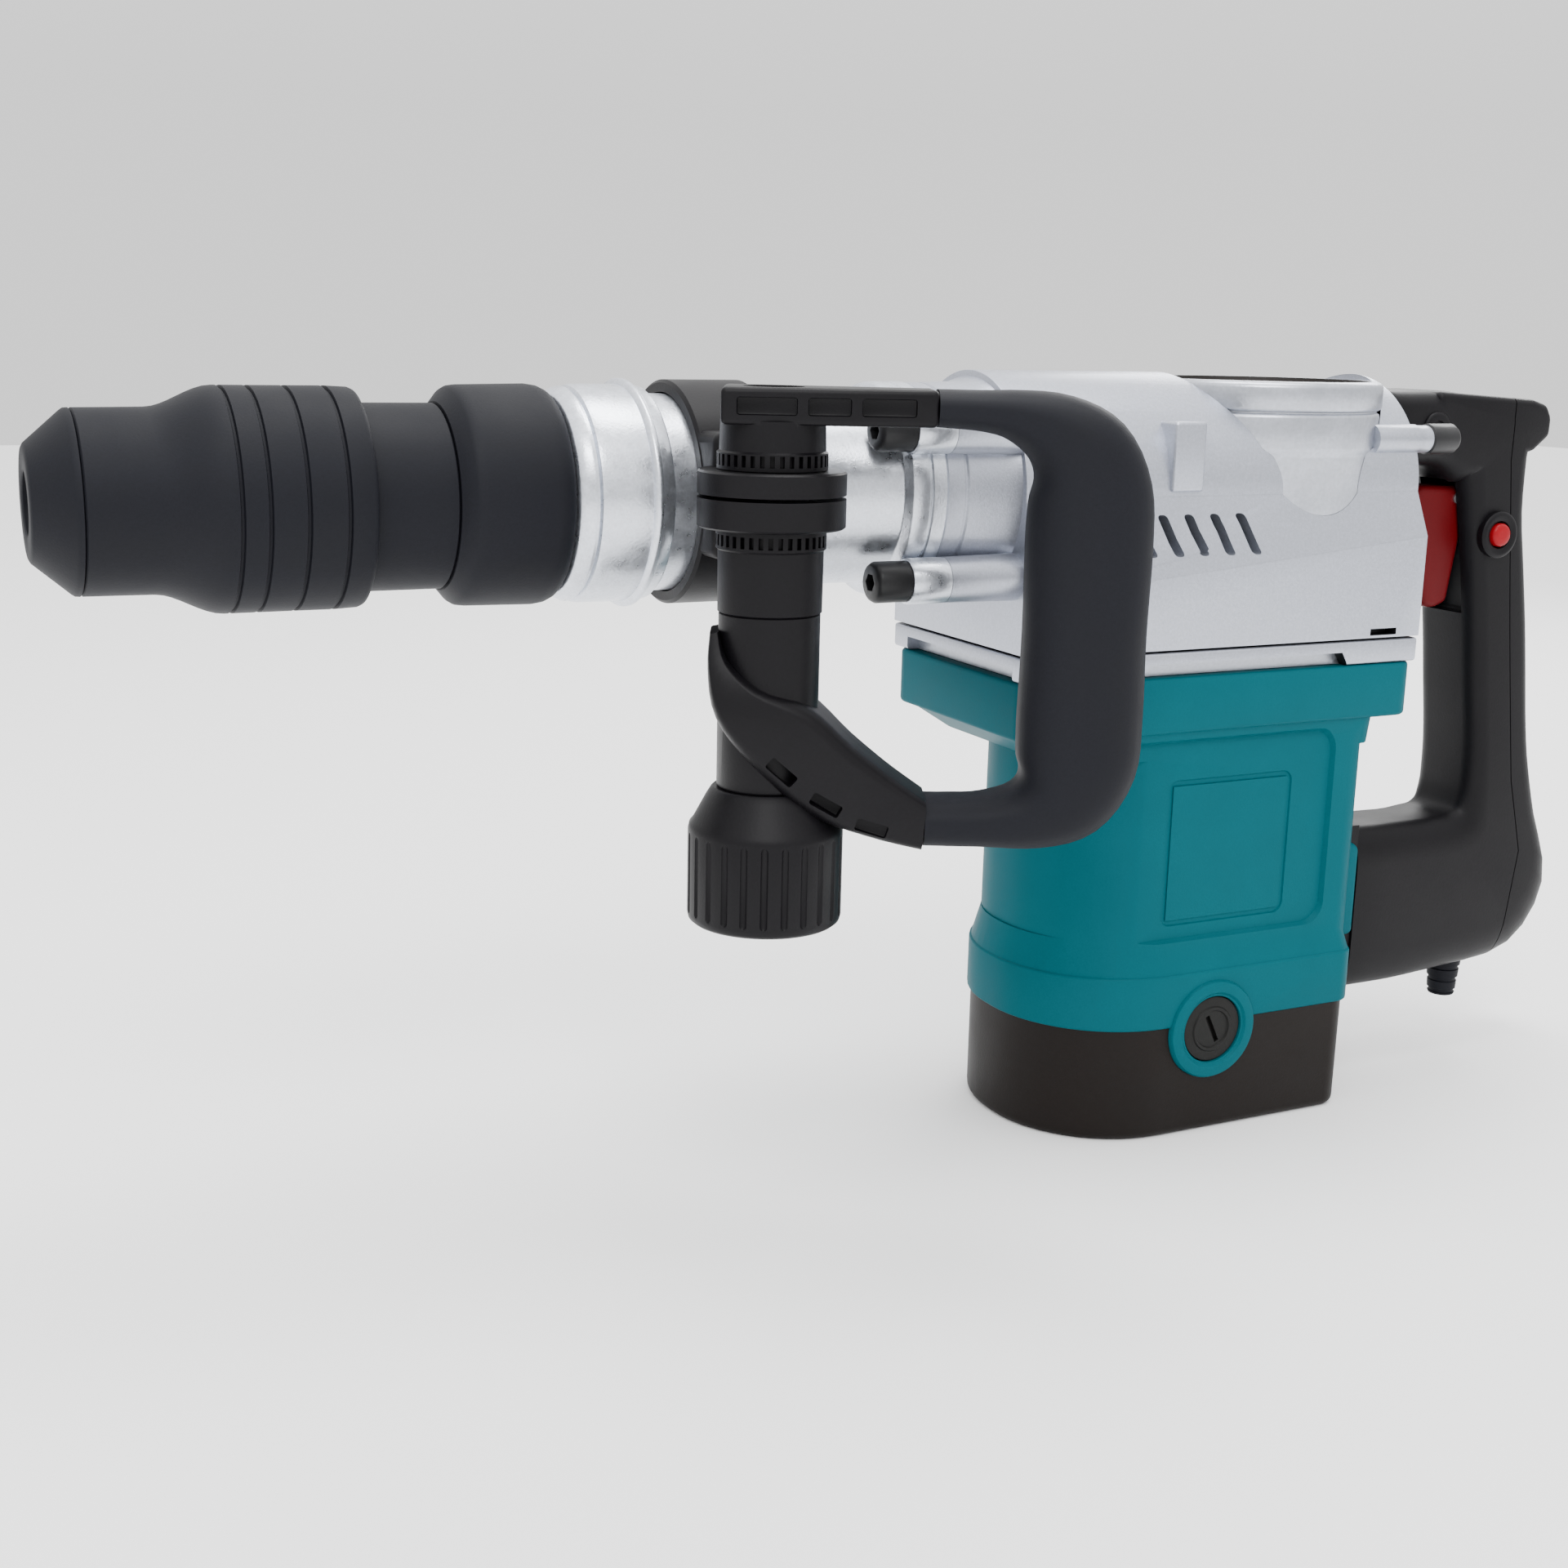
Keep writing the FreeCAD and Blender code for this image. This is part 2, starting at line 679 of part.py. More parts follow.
def make_conrod():
    half, end = s.rod_thickness / 2, s.wrist_place + s.rod_length
    small = rod_z(s.rod_small_eye, -half, half, s.wrist_place)
    big = rod_z(s.rod_big_eye, -half, half, end)
    beam = box(s.wrist_place, end, -s.rod_beam_half_width, s.rod_beam_half_width, -half, half)
    holes = [rod_z(s.wrist_radius + s.running_gap, -half - 1, half + 1, s.wrist_place),
             rod_z(s.crank_pin_radius, -half - 1, half + 1, end)]
    node("connecting_rod", cut(fuse(small, big, beam), *holes))
    node("crank_pin", rod_z(s.crank_pin_radius, s.crank_disc_high + 0.3, half + 2, end))


def make_crankshaft():
    centre = s.crank_place
    disc = rod_z(s.crank_disc_radius, s.crank_disc_low, s.crank_disc_high, centre)
    shaft = rod_z(s.crank_shaft_radius, s.housing_bottom + 0.5, s.crank_disc_low, centre)
    pin_eye = rod_z(s.crank_pin_radius + 0.3, s.crank_disc_high - 5, s.crank_disc_high + 1, centre - s.crank_throw)
    node("crankshaft", cut(fuse(disc, shaft), pin_eye))
    wheel = gear(s.crank_teeth, s.spur_module, 0, s.gear_low, s.gear_high, centre)
    node("crank_gear", cut(wheel, rod_z(s.crank_shaft_radius, s.gear_low - 1, s.gear_high + 1, centre)))


def make_countershaft():
    teeth = s.counter_teeth
    low = s.gear_high + s.face_pinion_rise
    high = low + s.face_pinion_length
    wheel = gear(teeth, s.spur_module, 180 / teeth.value, s.gear_low, s.gear_high, counter_place)
    node("countershaft_gear",
         cut(wheel, rod_z(s.counter_shaft_radius, s.gear_low - 1, s.gear_high + 1, counter_place)))
    shaft = rod_z(s.counter_shaft_radius, s.housing_bottom + 0.5, s.gear_high + 2, counter_place)
    neck = rod_z(s.counter_neck_radius, s.gear_high + 2, low, counter_place)
    pinion = gear(s.face_pinion_teeth, s.face_module, 180, low, high, counter_place)
    node("countershaft", fuse(shaft, neck, pinion))


def make_face_ring():
    """Ring gear on the cylinder: square teeth that face the back, with a gap at the bottom."""
    middle, back = face_ring_radius, face_pitch_plane - 1.7
    long, wide, deep = (size.value for size in (s.face_tooth_height, s.face_tooth_width, s.face_tooth_length))
    blank = ring_x(s.cylinder_radius, middle + 1.8, back - s.face_blank_thickness, back)
    teeth = int(s.face_ring_teeth.value)
    module = s.face_module.value
    tooth = Part.makeBox(long, wide, deep, Vector(back.value - 0.3, -wide / 2, middle.value - 3.2))
    step = 360 / teeth
    shapes = []
    for k in range(teeth):
        one = tooth.copy()
        one.rotate(Vector(0, 0, 0), Vector(1, 0, 0), 180 + step * (k + 0.5))
        shapes.append(one)
    obj = add("Part::Feature", "face_teeth")
    obj.Shape = Part.makeCompound(shapes)
    node("bevel_ring_gear", fuse(blank, obj))


# --- motor ---

def make_armature():
    centre = motor_place
    shaft = rod_z(s.motor_shaft_radius, s.cover_low + 8, s.gear_low - 0.5, centre)
    pinion = gear(s.motor_teeth, s.spur_module, 0, s.gear_low - 0.5, s.gear_high + 1, centre)
    node("armature_shaft", fuse(shaft, pinion))
    shaft_radius = s.motor_shaft_radius
    node("armature_core", ring_z(shaft_radius, s.core_radius, s.core_low, s.core_high, centre))
    node("armature_windings", group(ring_z(shaft_radius + 3, s.core_radius - 4, s.core_low - 14, s.core_low, centre),
                                    ring_z(shaft_radius + 3, s.core_radius - 4, s.core_high, s.core_high + 9, centre)))
    node("commutator", ring_z(shaft_radius, s.commutator_radius, s.brush_level - 10, s.brush_level + 11, centre))
    hub = ring_z(shaft_radius, 12, s.fan_low, s.fan_high, centre)
    disc = ring_z(11, s.fan_radius, s.fan_high - 2, s.fan_high, centre)
    blades = []
    for k in range(9):
        blade = box(13, s.fan_radius, -0.8, 0.8, s.fan_low, s.fan_high - 1)
        turn = Rotation(Vector(0, 0, 1), 40 * k)
        start = turn.multVec(Vector(13, -0.8, 0))
        blade.Placement = FreeCAD.Placement(Vector(motor_place.value + start.x, start.y, s.fan_low.value), turn)
        blade.setExpression("Placement.Base.x", f"{motor_place.text} + ({start.x})")
        blade.setExpression("Placement.Base.y", f"({start.y})")
        blades.append(blade)
    node("cooling_fan", fuse(hub, disc, *blades))


def make_field():
    centre = motor_place
    inner = s.core_radius + s.air_gap
    seat = s.motor_cavity_radius
    ribs = [box(centre - 3, centre + 3, side * s.field_radius - 2, side * s.field_radius + 2, s.core_low, s.core_high)
            for side in (-1, 1)]
    core = ring_z(inner, s.field_radius, s.core_low, s.core_high, centre)
    within = rod_z(seat - s.seat_gap, s.core_low, s.core_high, centre)
    common = add("Part::MultiCommon", "ribs")
    common.Shapes = [fuse(*ribs), within]
    node("field_core", fuse(core, common))
    node("field_coils", group(ring_z(inner + 3, s.field_radius - 4, s.core_low - 12, s.core_low, centre),
                              ring_z(inner + 3, s.field_radius - 4, s.core_high, s.core_high + 8, centre)))
    plate_low = s.brush_level - s.end_plate_drop
    plate = rod_z(s.motor_cavity_radius - 0.3, plate_low, plate_low + 6, centre)
    hub = rod_z(16, plate_low - 8, plate_low + 6, centre)
    hole = rod_z(12, plate_low - 9, plate_low + 7, centre)
    windows = [rod_z(7, plate_low - 1, plate_low + 7, centre + dx, dy) for dx, dy in ((27, 0), (-27, 0))]
    node("motor_end_plate", cut(fuse(plate, hub), hole, *windows))


def make_brushes():
    level, half = s.brush_level, s.brush_half
    outside = s.lip_half_width + 1
    holders, brushes, caps = [], [], []
    for side in (-1, 1):
        near, far = s.commutator_radius + 1.5, outside - 6
        low, high = (near, far) if side > 0 else (-far, -near)
        tube = box(motor_place - 7.5, motor_place + 7.5, low, high, level - 7.5, level + 7.5)
        hole = box(motor_place - half, motor_place + half, low - 1, high + 1, level - half, level + half)
        holders.append(cut(tube, hole))
        start = s.commutator_radius + 0.3
        low, high = (start, start + 20) if side > 0 else (-start - 20, -start)
        brushes.append(box(motor_place - half + 0.1, motor_place + half - 0.1, low, high,
                           level - half + 0.1, level + half - 0.1))
        low, high = (far, outside - 0.5) if side > 0 else (-outside + 0.5, -far)
        cap = rod_y(s.brush_cap_radius, low, high, motor_place, level)
        edge = high - 1.5 if side > 0 else low - 1
        slot = box(motor_place - 1, motor_place + 1, edge, edge + 2.5, level - 6, level + 6)
        caps.append(cut(cap, slot))
    node("brush_holders", group(*holders))
    node("carbon_brushes", group(*brushes))
    node("brush_caps", group(*caps))


def plan(radius, half_width, rear, low, high):
    """Motor housing plan: round at the front, square at the back."""
    centre = s.body_front_centre
    return fuse(rod_z(radius, low, high, centre), wide_box(centre, rear, half_width, low, high))


def make_motor_housing():
    half, wall = s.body_half_width, s.housing_wall
    top = s.housing_bottom
    body = plan(half, half, s.body_rear, s.lip_low, top)
    lip = plan(s.lip_half_width, s.lip_half_width, s.body_rear, s.lip_low, s.lip_high)
    step = wide_box(s.housing_front + 8, s.housing_rear - 6, half + 1, s.collar_low - 6, s.collar_low)
    collar = wide_box(s.housing_front, s.housing_rear, s.housing_half_width, s.collar_low, top)
    bracket = wide_box(s.body_rear - 2, s.bracket_end - 3, s.bracket_half_width, s.bracket_low, s.bracket_high)
    reach = s.lip_half_width + 1
    boss = rod_y(s.brush_boss_radius, -reach, reach, motor_place, s.brush_level)
    cavity = rod_z(s.motor_cavity_radius, s.lip_low - 25, s.fan_low - 4, motor_place)
    upper_cavity = wide_box(s.housing_front + wall, s.housing_rear - wall, half - 3, s.fan_low - 4, top + 1)
    narrow = fuse(cavity, upper_cavity)
    cap_seats = rod_y(s.brush_cap_radius + s.seat_gap, -reach - 1, reach + 1, motor_place, s.brush_level)
    node("motor_housing", cut(fuse(body, lip, step, collar, bracket, boss), narrow, cap_seats))


def make_bottom_cover():
    half = s.lip_half_width - 1
    outer = plan(half, half, s.body_rear - 1, s.cover_low, s.lip_low)
    inner = plan(half - s.cover_wall, half - s.cover_wall, s.body_rear - 1 - s.cover_wall,
                 s.cover_low + s.cover_wall, s.lip_low + 1)
    reach = s.lip_half_width + 2
    boss_seat = rod_y(s.brush_boss_radius + 0.1, -reach, reach, motor_place, s.brush_level)
    node("bottom_cover", cut(outer, inner, boss_seat))
    step_low = s.collar_low - 6
    node("collar_plug", wide_box(s.body_rear, s.body_rear + 8, 5, step_low - 6, step_low))


# --- rear handle ---

def handle_seam():
    top, low, rear = s.handle_top, s.handle_low, s.grip_rear
    return [(rear - 14, top - 2.8), (rear - 14, top - 26), (rear + 4, s.grip_low), (rear + 12, s.grip_low - 30),
            (rear + 6, low + 14)]


def handle_inside():
    return wide_box(s.grip_front + s.handle_wall, s.grip_rear - 7, s.handle_half_width - s.handle_wall,
                    s.grip_low + 8, 4)


def make_rear_handle():
    top, low, front = s.handle_top, s.handle_low, s.handle_front
    grip, rear, half = s.grip_front, s.grip_rear, s.handle_half_width
    seam = handle_seam()
    shell = side_profile([(front, top), *seam, (front + 2, low), (front + 2, s.grip_low - 10),
                          (grip - 16, s.grip_low - 4), (grip + 1, s.grip_low + 6), (grip + 1, -52),
                          (grip - 7, -2), (grip - 16, top - 29), (front, top - 28)], half)
    slot = wide_box(grip - 16, grip + 6, s.trigger_half_width + 0.8, -52, 1)
    pin = rod_y(s.trigger_pin_radius, -half, half, s.trigger_pivot_x, s.trigger_pivot_z)
    button_hole = rod_y(s.button_radius + s.running_gap, -half - 1, 0, s.button_x, s.button_z)
    guard_seat = rod_z(s.guard_radius, low, low + 22, s.guard_x)
    node("rear_handle", cut(shell, handle_inside(), slot, pin, button_hole, guard_seat))
    cover = side_profile([*seam, (rear + 27, low + 22), (rear + 32, s.grip_low - 25), (rear + 18, s.grip_low + 1),
                          (rear - 2, top - 24), (rear + 6, top - 12), (rear - 4, top - 3.5)], half)
    node("rear_handle_cover", cut(cover, handle_inside()))
    dampers = [rod_x(7, s.housing_rear, front, side * 11, top - 13) for side in (-1, 1)]
    node("handle_dampers", group(*dampers))
    seal = wide_box(s.bracket_end - 3, front + 2, s.bracket_half_width, s.bracket_low - 14, s.bracket_high - 2)
    foot = wide_box(s.body_rear, s.bracket_end - 3.1, s.bracket_half_width - 2, s.bracket_low - 16, s.bracket_low)
    node("handle_joint_plates", group(seal, foot))


def make_trigger():
    x, z = s.trigger_pivot_x, s.trigger_pivot_z
    blade = side_profile([(x + 4, z + 5), (x - 18, z + 5), (x - 25, z - 3), (x - 22, z - 12), (x - 14, z - 24),
                          (x - 13, z - 41), (x - 4, z - 43), (x + 5, z - 14)], s.trigger_half_width)
    node("trigger", cut(blade, rod_y(s.trigger_pin_radius + s.running_gap, -20, 20, x, z)))
    pin_reach = s.handle_half_width - 3
    node("trigger_pin", rod_y(s.trigger_pin_radius, -pin_reach, pin_reach, x, z))
    out = s.handle_half_width
    switch_half = out - s.button_depth - s.button_travel - 0.3
    node("switch_body", wide_box(s.grip_front + s.handle_wall + 1.5, s.grip_rear - 7, switch_half, -58, -4))
    node("lock_button", rod_y(s.button_radius, -out - 3, -out + s.button_depth, s.button_x, s.button_z))
    bezel = rod_y(s.bezel_radius, -out - 1.8, -out, s.button_x, s.button_z)
    node("lock_bezel", cut(bezel, rod_y(s.button_radius + s.running_gap, -out - 3, -out + 1, s.button_x, s.button_z)))


def make_cord_guard():
    top, low = s.handle_low + 22, s.guard_low
    body = fuse(rod_z(s.guard_radius, low + 8, top, s.guard_x),
                cone_z(s.guard_radius - 2.5, s.guard_radius, low, low + 8, s.guard_x))
    node("cord_guard", cut(body, rod_z(s.cord_bore, low - 1, top + 1, s.guard_x)))


# --- side handle ---

def make_clamp():
    low, high = s.clamp_start, s.clamp_end
    band = rod_x(clamp_radius, low, high)
    lug = rod_z(lug_radius, s.lug_low, s.lug_high, s.post_x, post_y)
    web = box(low, high, post_y, -10, s.lug_low, s.lug_high)
    bore = rod_x(s.barrel_radius + s.clear_gap, low - 1, high + 30)
    bolt_hole = rod_z(s.tie_bolt_radius + s.running_gap, s.lug_low - 1, s.lug_high + 1, s.post_x, post_y)
    slit = box(low - 20, high + 20, post_y - 30, -10, s.lug_split - 0.3, s.lug_split + 0.3)
    node("clamp_band", cut(fuse(band, lug, web), bore, bolt_hole, slit))


def on_post(points, half_width):
    return side_profile(points, half_width, s.post_x, post_y, s.swing_angle)


def make_side_handle():
    top, under = s.arm_top, s.arm_top - s.arm_thickness
    start, inner, outer, bottom = s.grip_start, s.grip_inner, s.grip_outer, s.grip_bottom
    post = s.post_radius
    upper = on_post([(-post, under), (start, under), (start, top), (-post, top)], s.arm_half_width)
    lower = on_post([(-post - 2, -33), (post, -60), (post + 13, -74), (start, bottom + 15), (start, bottom),
                     (38, bottom + 3), (post + 10, bottom + 12), (post - 21, -68), (-post - 2, -51)], s.arm_half_width + 2)
    core = on_post([(start, top - 3), (inner + 14, top - 3), (outer - 10, 20), (outer - 10, bottom + 14),
                    (outer - 22, bottom + 4), (start, bottom + 4), (start, bottom + 11), (inner + 3, bottom + 11),
                    (inner + 10, bottom + 24), (inner + 10, 18), (inner + 4, under + 3), (start, under + 3)],
                   s.core_half_width)
    hub = rod_z(post, s.lug_high + 0.3, top, s.post_x, post_y)
    tube = rod_z(post, s.tube_low, s.lug_low - 0.3, s.post_x, post_y)
    bolt_hole = rod_z(s.tie_bolt_radius + s.running_gap, s.tube_low - 20, top + 1, s.post_x, post_y)
    head_seat = rod_z(s.head_seat_radius, top - s.head_seat_depth, top + 1, s.post_x, post_y)
    node("side_handle_frame", cut(fuse(hub, tube, upper, lower, core), bolt_hole, head_seat))
    skin = on_post([(start, top), (inner + 18, top), (outer - 5, 26), (outer, 10), (outer, bottom + 22),
                    (outer - 8, bottom + 6), (outer - 22, bottom), (start, bottom), (start, bottom + 15),
                    (inner - 4, bottom + 18), (inner, bottom + 28), (inner, 12), (inner - 7, under - 1),
                    (start, under)], s.grip_half_width)
    core_again = on_post([(start - 1, top - 3), (inner + 14, top - 3), (outer - 10, 20), (outer - 10, bottom + 14),
                          (outer - 22, bottom + 4), (start - 1, bottom + 4), (start - 1, bottom + 11),
                          (inner + 3, bottom + 11), (inner + 10, bottom + 24), (inner + 10, 18),
                          (inner + 4, under + 3), (start - 1, under + 3)], s.core_half_width)
    node("side_handle_grip", cut(skin, core_again))


def make_knob():
    top, shoulder, low = s.tube_low - 0.3, s.knob_shoulder, s.knob_low
    x, y = s.post_x, post_y
    body = fuse(cone_z(s.knob_radius, s.post_radius, shoulder, top, x, y),
                rod_z(s.knob_radius, low, shoulder, x, y))
    node("clamp_knob", cut(body, rod_z(s.tie_bolt_radius, low + s.bolt_thread_start, top + 1, x, y)))
    seat = s.arm_top - s.head_seat_depth
    node("clamp_bolt", fuse(rod_z(s.tie_bolt_radius, low + s.bolt_thread_start, seat, x, y),
                            rod_z(s.bolt_head_radius, seat, seat + s.bolt_head_height, x, y)))


def check_and_write():
    doc.recompute()
    for obj in doc.Objects:
        if "Invalid" in obj.State or "Error" in obj.State:
            raise RuntimeError(f"{obj.Name} ({obj.Label}) failed: {obj.State}")
    for obj in nodes:
        if obj.Shape.isNull() or not obj.Shape.isValid() or not obj.Shape.Solids:
            raise RuntimeError(f"{obj.Label} has no valid solid")
    os.makedirs("parts", exist_ok=True)
    for obj in nodes:
        obj.Shape.exportStep(f"parts/{obj.Label}.step")
        size = obj.Shape.BoundBox
        print(f"{obj.Label:24s} solids {len(obj.Shape.Solids)} volume {obj.Shape.Volume / 1000:8.1f} cm3 "
              f"x {size.XMin:6.1f} {size.XMax:6.1f}  y {size.YMin:6.1f} {size.YMax:6.1f} "
              f"z {size.ZMin:6.1f} {size.ZMax:6.1f}")
    print(len(nodes), "nodes")


make_sheet()
make_nose()
make_holder()
make_release_spring()
make_mode_ring()
make_barrel()
make_gear_housing()
make_crank_tower()
make_bearing_plate()
make_cylinder()
make_conrod()
make_crankshaft()
make_countershaft()
make_face_ring()
make_armature()
make_field()
make_brushes()
make_motor_housing()
make_bottom_cover()
make_rear_handle()
make_trigger()
make_cord_guard()
make_clamp()
make_side_handle()
make_knob()
check_and_write()
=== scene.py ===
# %% [markdown]
# # A rotary hammer, piece by piece
# A heavy drill and breaker: a long barrel with a pull-back chuck, an upright motor, and two handles.
# The working model fixes where everything is. Each cell below gives one outside piece its true
# rounded shape, or one finish its grain, and the inside pieces keep their own meshes.

# %% Load the frame
import json
import math

import bpy
from mathutils import Matrix, Vector


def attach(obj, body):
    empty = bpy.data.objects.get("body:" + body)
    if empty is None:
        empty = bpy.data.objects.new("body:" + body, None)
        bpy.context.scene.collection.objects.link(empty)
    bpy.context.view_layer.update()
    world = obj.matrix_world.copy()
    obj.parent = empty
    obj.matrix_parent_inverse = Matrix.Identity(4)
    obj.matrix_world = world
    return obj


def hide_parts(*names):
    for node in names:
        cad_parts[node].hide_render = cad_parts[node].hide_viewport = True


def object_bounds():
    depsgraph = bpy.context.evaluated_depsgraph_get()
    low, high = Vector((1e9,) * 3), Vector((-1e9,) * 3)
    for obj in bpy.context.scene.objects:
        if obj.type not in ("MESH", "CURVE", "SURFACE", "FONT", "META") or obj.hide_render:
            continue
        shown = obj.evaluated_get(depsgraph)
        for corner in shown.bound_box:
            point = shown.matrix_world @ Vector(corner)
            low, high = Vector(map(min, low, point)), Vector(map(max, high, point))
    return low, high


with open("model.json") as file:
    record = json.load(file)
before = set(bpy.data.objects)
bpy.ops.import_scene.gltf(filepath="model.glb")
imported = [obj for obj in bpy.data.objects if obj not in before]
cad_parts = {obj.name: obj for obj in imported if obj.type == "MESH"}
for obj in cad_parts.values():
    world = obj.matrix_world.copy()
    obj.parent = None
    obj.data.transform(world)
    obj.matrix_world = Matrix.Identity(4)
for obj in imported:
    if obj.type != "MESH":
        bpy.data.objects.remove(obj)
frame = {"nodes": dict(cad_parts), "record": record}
cad_low, cad_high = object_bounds()
MM = 0.001
body_of = {node: body for body, nodes in frame["record"]["behaviour"]["bodies"].items() for node in nodes}
slot_of = {part["node"]: part["material_slot"] for part in frame["record"]["subparts"]}
print("nodes", len(frame["nodes"]), "size in mm", [round(1000 * v) for v in cad_high - cad_low])

# %% [markdown]
# The camera stands to the front left of the tool, a little above the barrel, and looks slightly down.
# Its place and turn are worked out once from three angles, so the lens and the view match a normal
# product picture taken from about 60 cm away.

# %% Camera
YAW, PITCH, ROLL = math.radians(25.88), math.radians(13.07), math.radians(1.23)
forward = Vector((math.sin(YAW) * math.cos(PITCH), math.cos(YAW) * math.cos(PITCH), -math.sin(PITCH)))
level = Vector((math.cos(YAW), -math.sin(YAW), 0))
upward = level.cross(forward)
right = level * math.cos(ROLL) + upward * math.sin(ROLL)
top = upward * math.cos(ROLL) - level * math.sin(ROLL)
camera_data = bpy.data.cameras.new("camera")
camera_data.lens, camera_data.sensor_width = 45.28, 36
camera_data.clip_start = 0.05
camera = bpy.data.objects.new("camera", camera_data)
bpy.context.scene.collection.objects.link(camera)
turn = Matrix((right, top, -forward)).transposed().to_4x4()
camera.matrix_world = Matrix.Translation((-0.0490, -0.5886, 0.0525)) @ turn
bpy.context.scene.camera = camera
print("camera at", [round(v, 3) for v in camera.location])

# %% [markdown]
# A product shot wants soft light from several sides. Two big area lamps give long clean highlights on
# the barrel and a third lifts the far side. The world is white all round and brighter overhead, so
# that curved metal shows a light top and a darker side.

# %% Floor and light
def nothing_selected():
    if bpy.context.object and bpy.context.object.mode != "OBJECT":
        bpy.ops.object.mode_set(mode="OBJECT")
    bpy.ops.object.select_all(action="DESELECT")


nothing_selected()
bpy.ops.mesh.primitive_plane_add(size=8, location=(0.3, 0, cad_low[2]))
floor = bpy.context.object
floor.name = "floor"
floor_finish = bpy.data.materials.new("pale_floor")
floor_finish.use_nodes = True
floor_shader = floor_finish.node_tree.nodes["Principled BSDF"]
floor_shader.inputs["Base Color"].default_value = (0.93, 0.93, 0.93, 1)
floor_shader.inputs["Roughness"].default_value = 0.8
floor.data.materials.append(floor_finish)
world = bpy.data.worlds.new("studio")
world.use_nodes = True
sky = world.node_tree.nodes["Background"]
sky.inputs["Color"].default_value = (1, 1, 1, 1)
heading = world.node_tree.nodes.new("ShaderNodeTexCoord")
height = world.node_tree.nodes.new("ShaderNodeSeparateXYZ")
brightness = world.node_tree.nodes.new("ShaderNodeMapRange")
brightness.inputs["From Min"].default_value, brightness.inputs["From Max"].default_value = 0.1, 0.8
brightness.inputs["To Min"].default_value, brightness.inputs["To Max"].default_value = 1.2, 2.3
world.node_tree.links.new(heading.outputs["Generated"], height.inputs["Vector"])
world.node_tree.links.new(height.outputs["Z"], brightness.inputs["Value"])
world.node_tree.links.new(brightness.outputs["Result"], sky.inputs["Strength"])
bpy.context.scene.world = world


def lamp(name, place, aim, size, watts):
    data = bpy.data.lights.new(name, "AREA")
    data.shape, data.size, data.energy = "RECTANGLE", size, watts
    data.size_y = size * 0.6
    thing = bpy.data.objects.new(name, data)
    bpy.context.scene.collection.objects.link(thing)
    thing.location = place
    thing.rotation_euler = (Vector(aim) - Vector(place)).to_track_quat("-Z", "Y").to_euler()


lamp("key", (-0.3, -1.3, 1.4), (0.3, 0, 0), 1.0, 22)
lamp("top", (0.5, 0.1, 1.5), (0.3, 0, 0), 0.9, 18)
lamp("rim", (1.5, 0.9, 0.7), (0.35, 0, 0), 0.8, 10)

# %% [markdown]
# ## Finishes
# Every finish starts the same way: a noise on object coordinates varies the colour and the roughness
# a little, and a much finer noise lifts and dents the surface. Only the sizes differ, because rubber,
# nylon, paint and bare metal have their grain at different scales.

# %% A maker for finishes
def node(tree, kind, **values):
    made = tree.nodes.new(kind)
    for name, value in values.items():
        setattr(made, name, value)
    return made


def finish(name, colour, roughness, metallic=0.0, mottle=0.15, patch=40, grain=900, lift=0.1,
           stretch=(1, 1, 1),
           spread=0.1, coat=0.0, gloss=0.5):
    """patch and grain are how many spots fit in a metre; stretch pulls the grain along an axis."""
    made = bpy.data.materials.new(name)
    made.use_nodes = True
    tree = made.node_tree
    shader = tree.nodes["Principled BSDF"]
    shader.inputs["Metallic"].default_value = metallic
    shader.inputs["Coat Weight"].default_value = coat
    shader.inputs["Specular IOR Level"].default_value = gloss
    coordinates = node(tree, "ShaderNodeTexCoord")
    mapping = node(tree, "ShaderNodeMapping")
    mapping.inputs["Scale"].default_value = stretch
    tree.links.new(coordinates.outputs["Object"], mapping.inputs["Vector"])
    wide = node(tree, "ShaderNodeTexNoise")
    wide.inputs["Scale"].default_value, wide.inputs["Detail"].default_value = patch, 4
    fine = node(tree, "ShaderNodeTexNoise")
    fine.inputs["Scale"].default_value, fine.inputs["Detail"].default_value = grain, 3
    tree.links.new(coordinates.outputs["Object"], wide.inputs["Vector"])
    tree.links.new(mapping.outputs["Vector"], fine.inputs["Vector"])
    both = node(tree, "ShaderNodeMath", operation="MULTIPLY")
    tree.links.new(wide.outputs["Fac"], both.inputs[0])
    tree.links.new(fine.outputs["Fac"], both.inputs[1])
    ramp = node(tree, "ShaderNodeValToRGB")
    ramp.color_ramp.elements[0].position, ramp.color_ramp.elements[1].position = 0.1, 0.45
    ramp.color_ramp.elements[0].color = (*[c * (1 - mottle) for c in colour], 1)
    ramp.color_ramp.elements[1].color = (*[min(1, c * (1 + mottle)) for c in colour], 1)
    tree.links.new(both.outputs[0], ramp.inputs["Fac"])
    tree.links.new(ramp.outputs["Color"], shader.inputs["Base Color"])
    rough = node(tree, "ShaderNodeMapRange")
    rough.inputs["To Min"].default_value = max(0.02, roughness - spread)
    rough.inputs["To Max"].default_value = min(1, roughness + spread)
    tree.links.new(wide.outputs["Fac"], rough.inputs["Value"])
    tree.links.new(rough.outputs["Result"], shader.inputs["Roughness"])
    bump = node(tree, "ShaderNodeBump")
    bump.inputs["Strength"].default_value, bump.inputs["Distance"].default_value = lift, 0.0003
    tree.links.new(fine.outputs["Fac"], bump.inputs["Height"])
    tree.links.new(bump.outputs["Normal"], shader.inputs["Normal"])
    return made


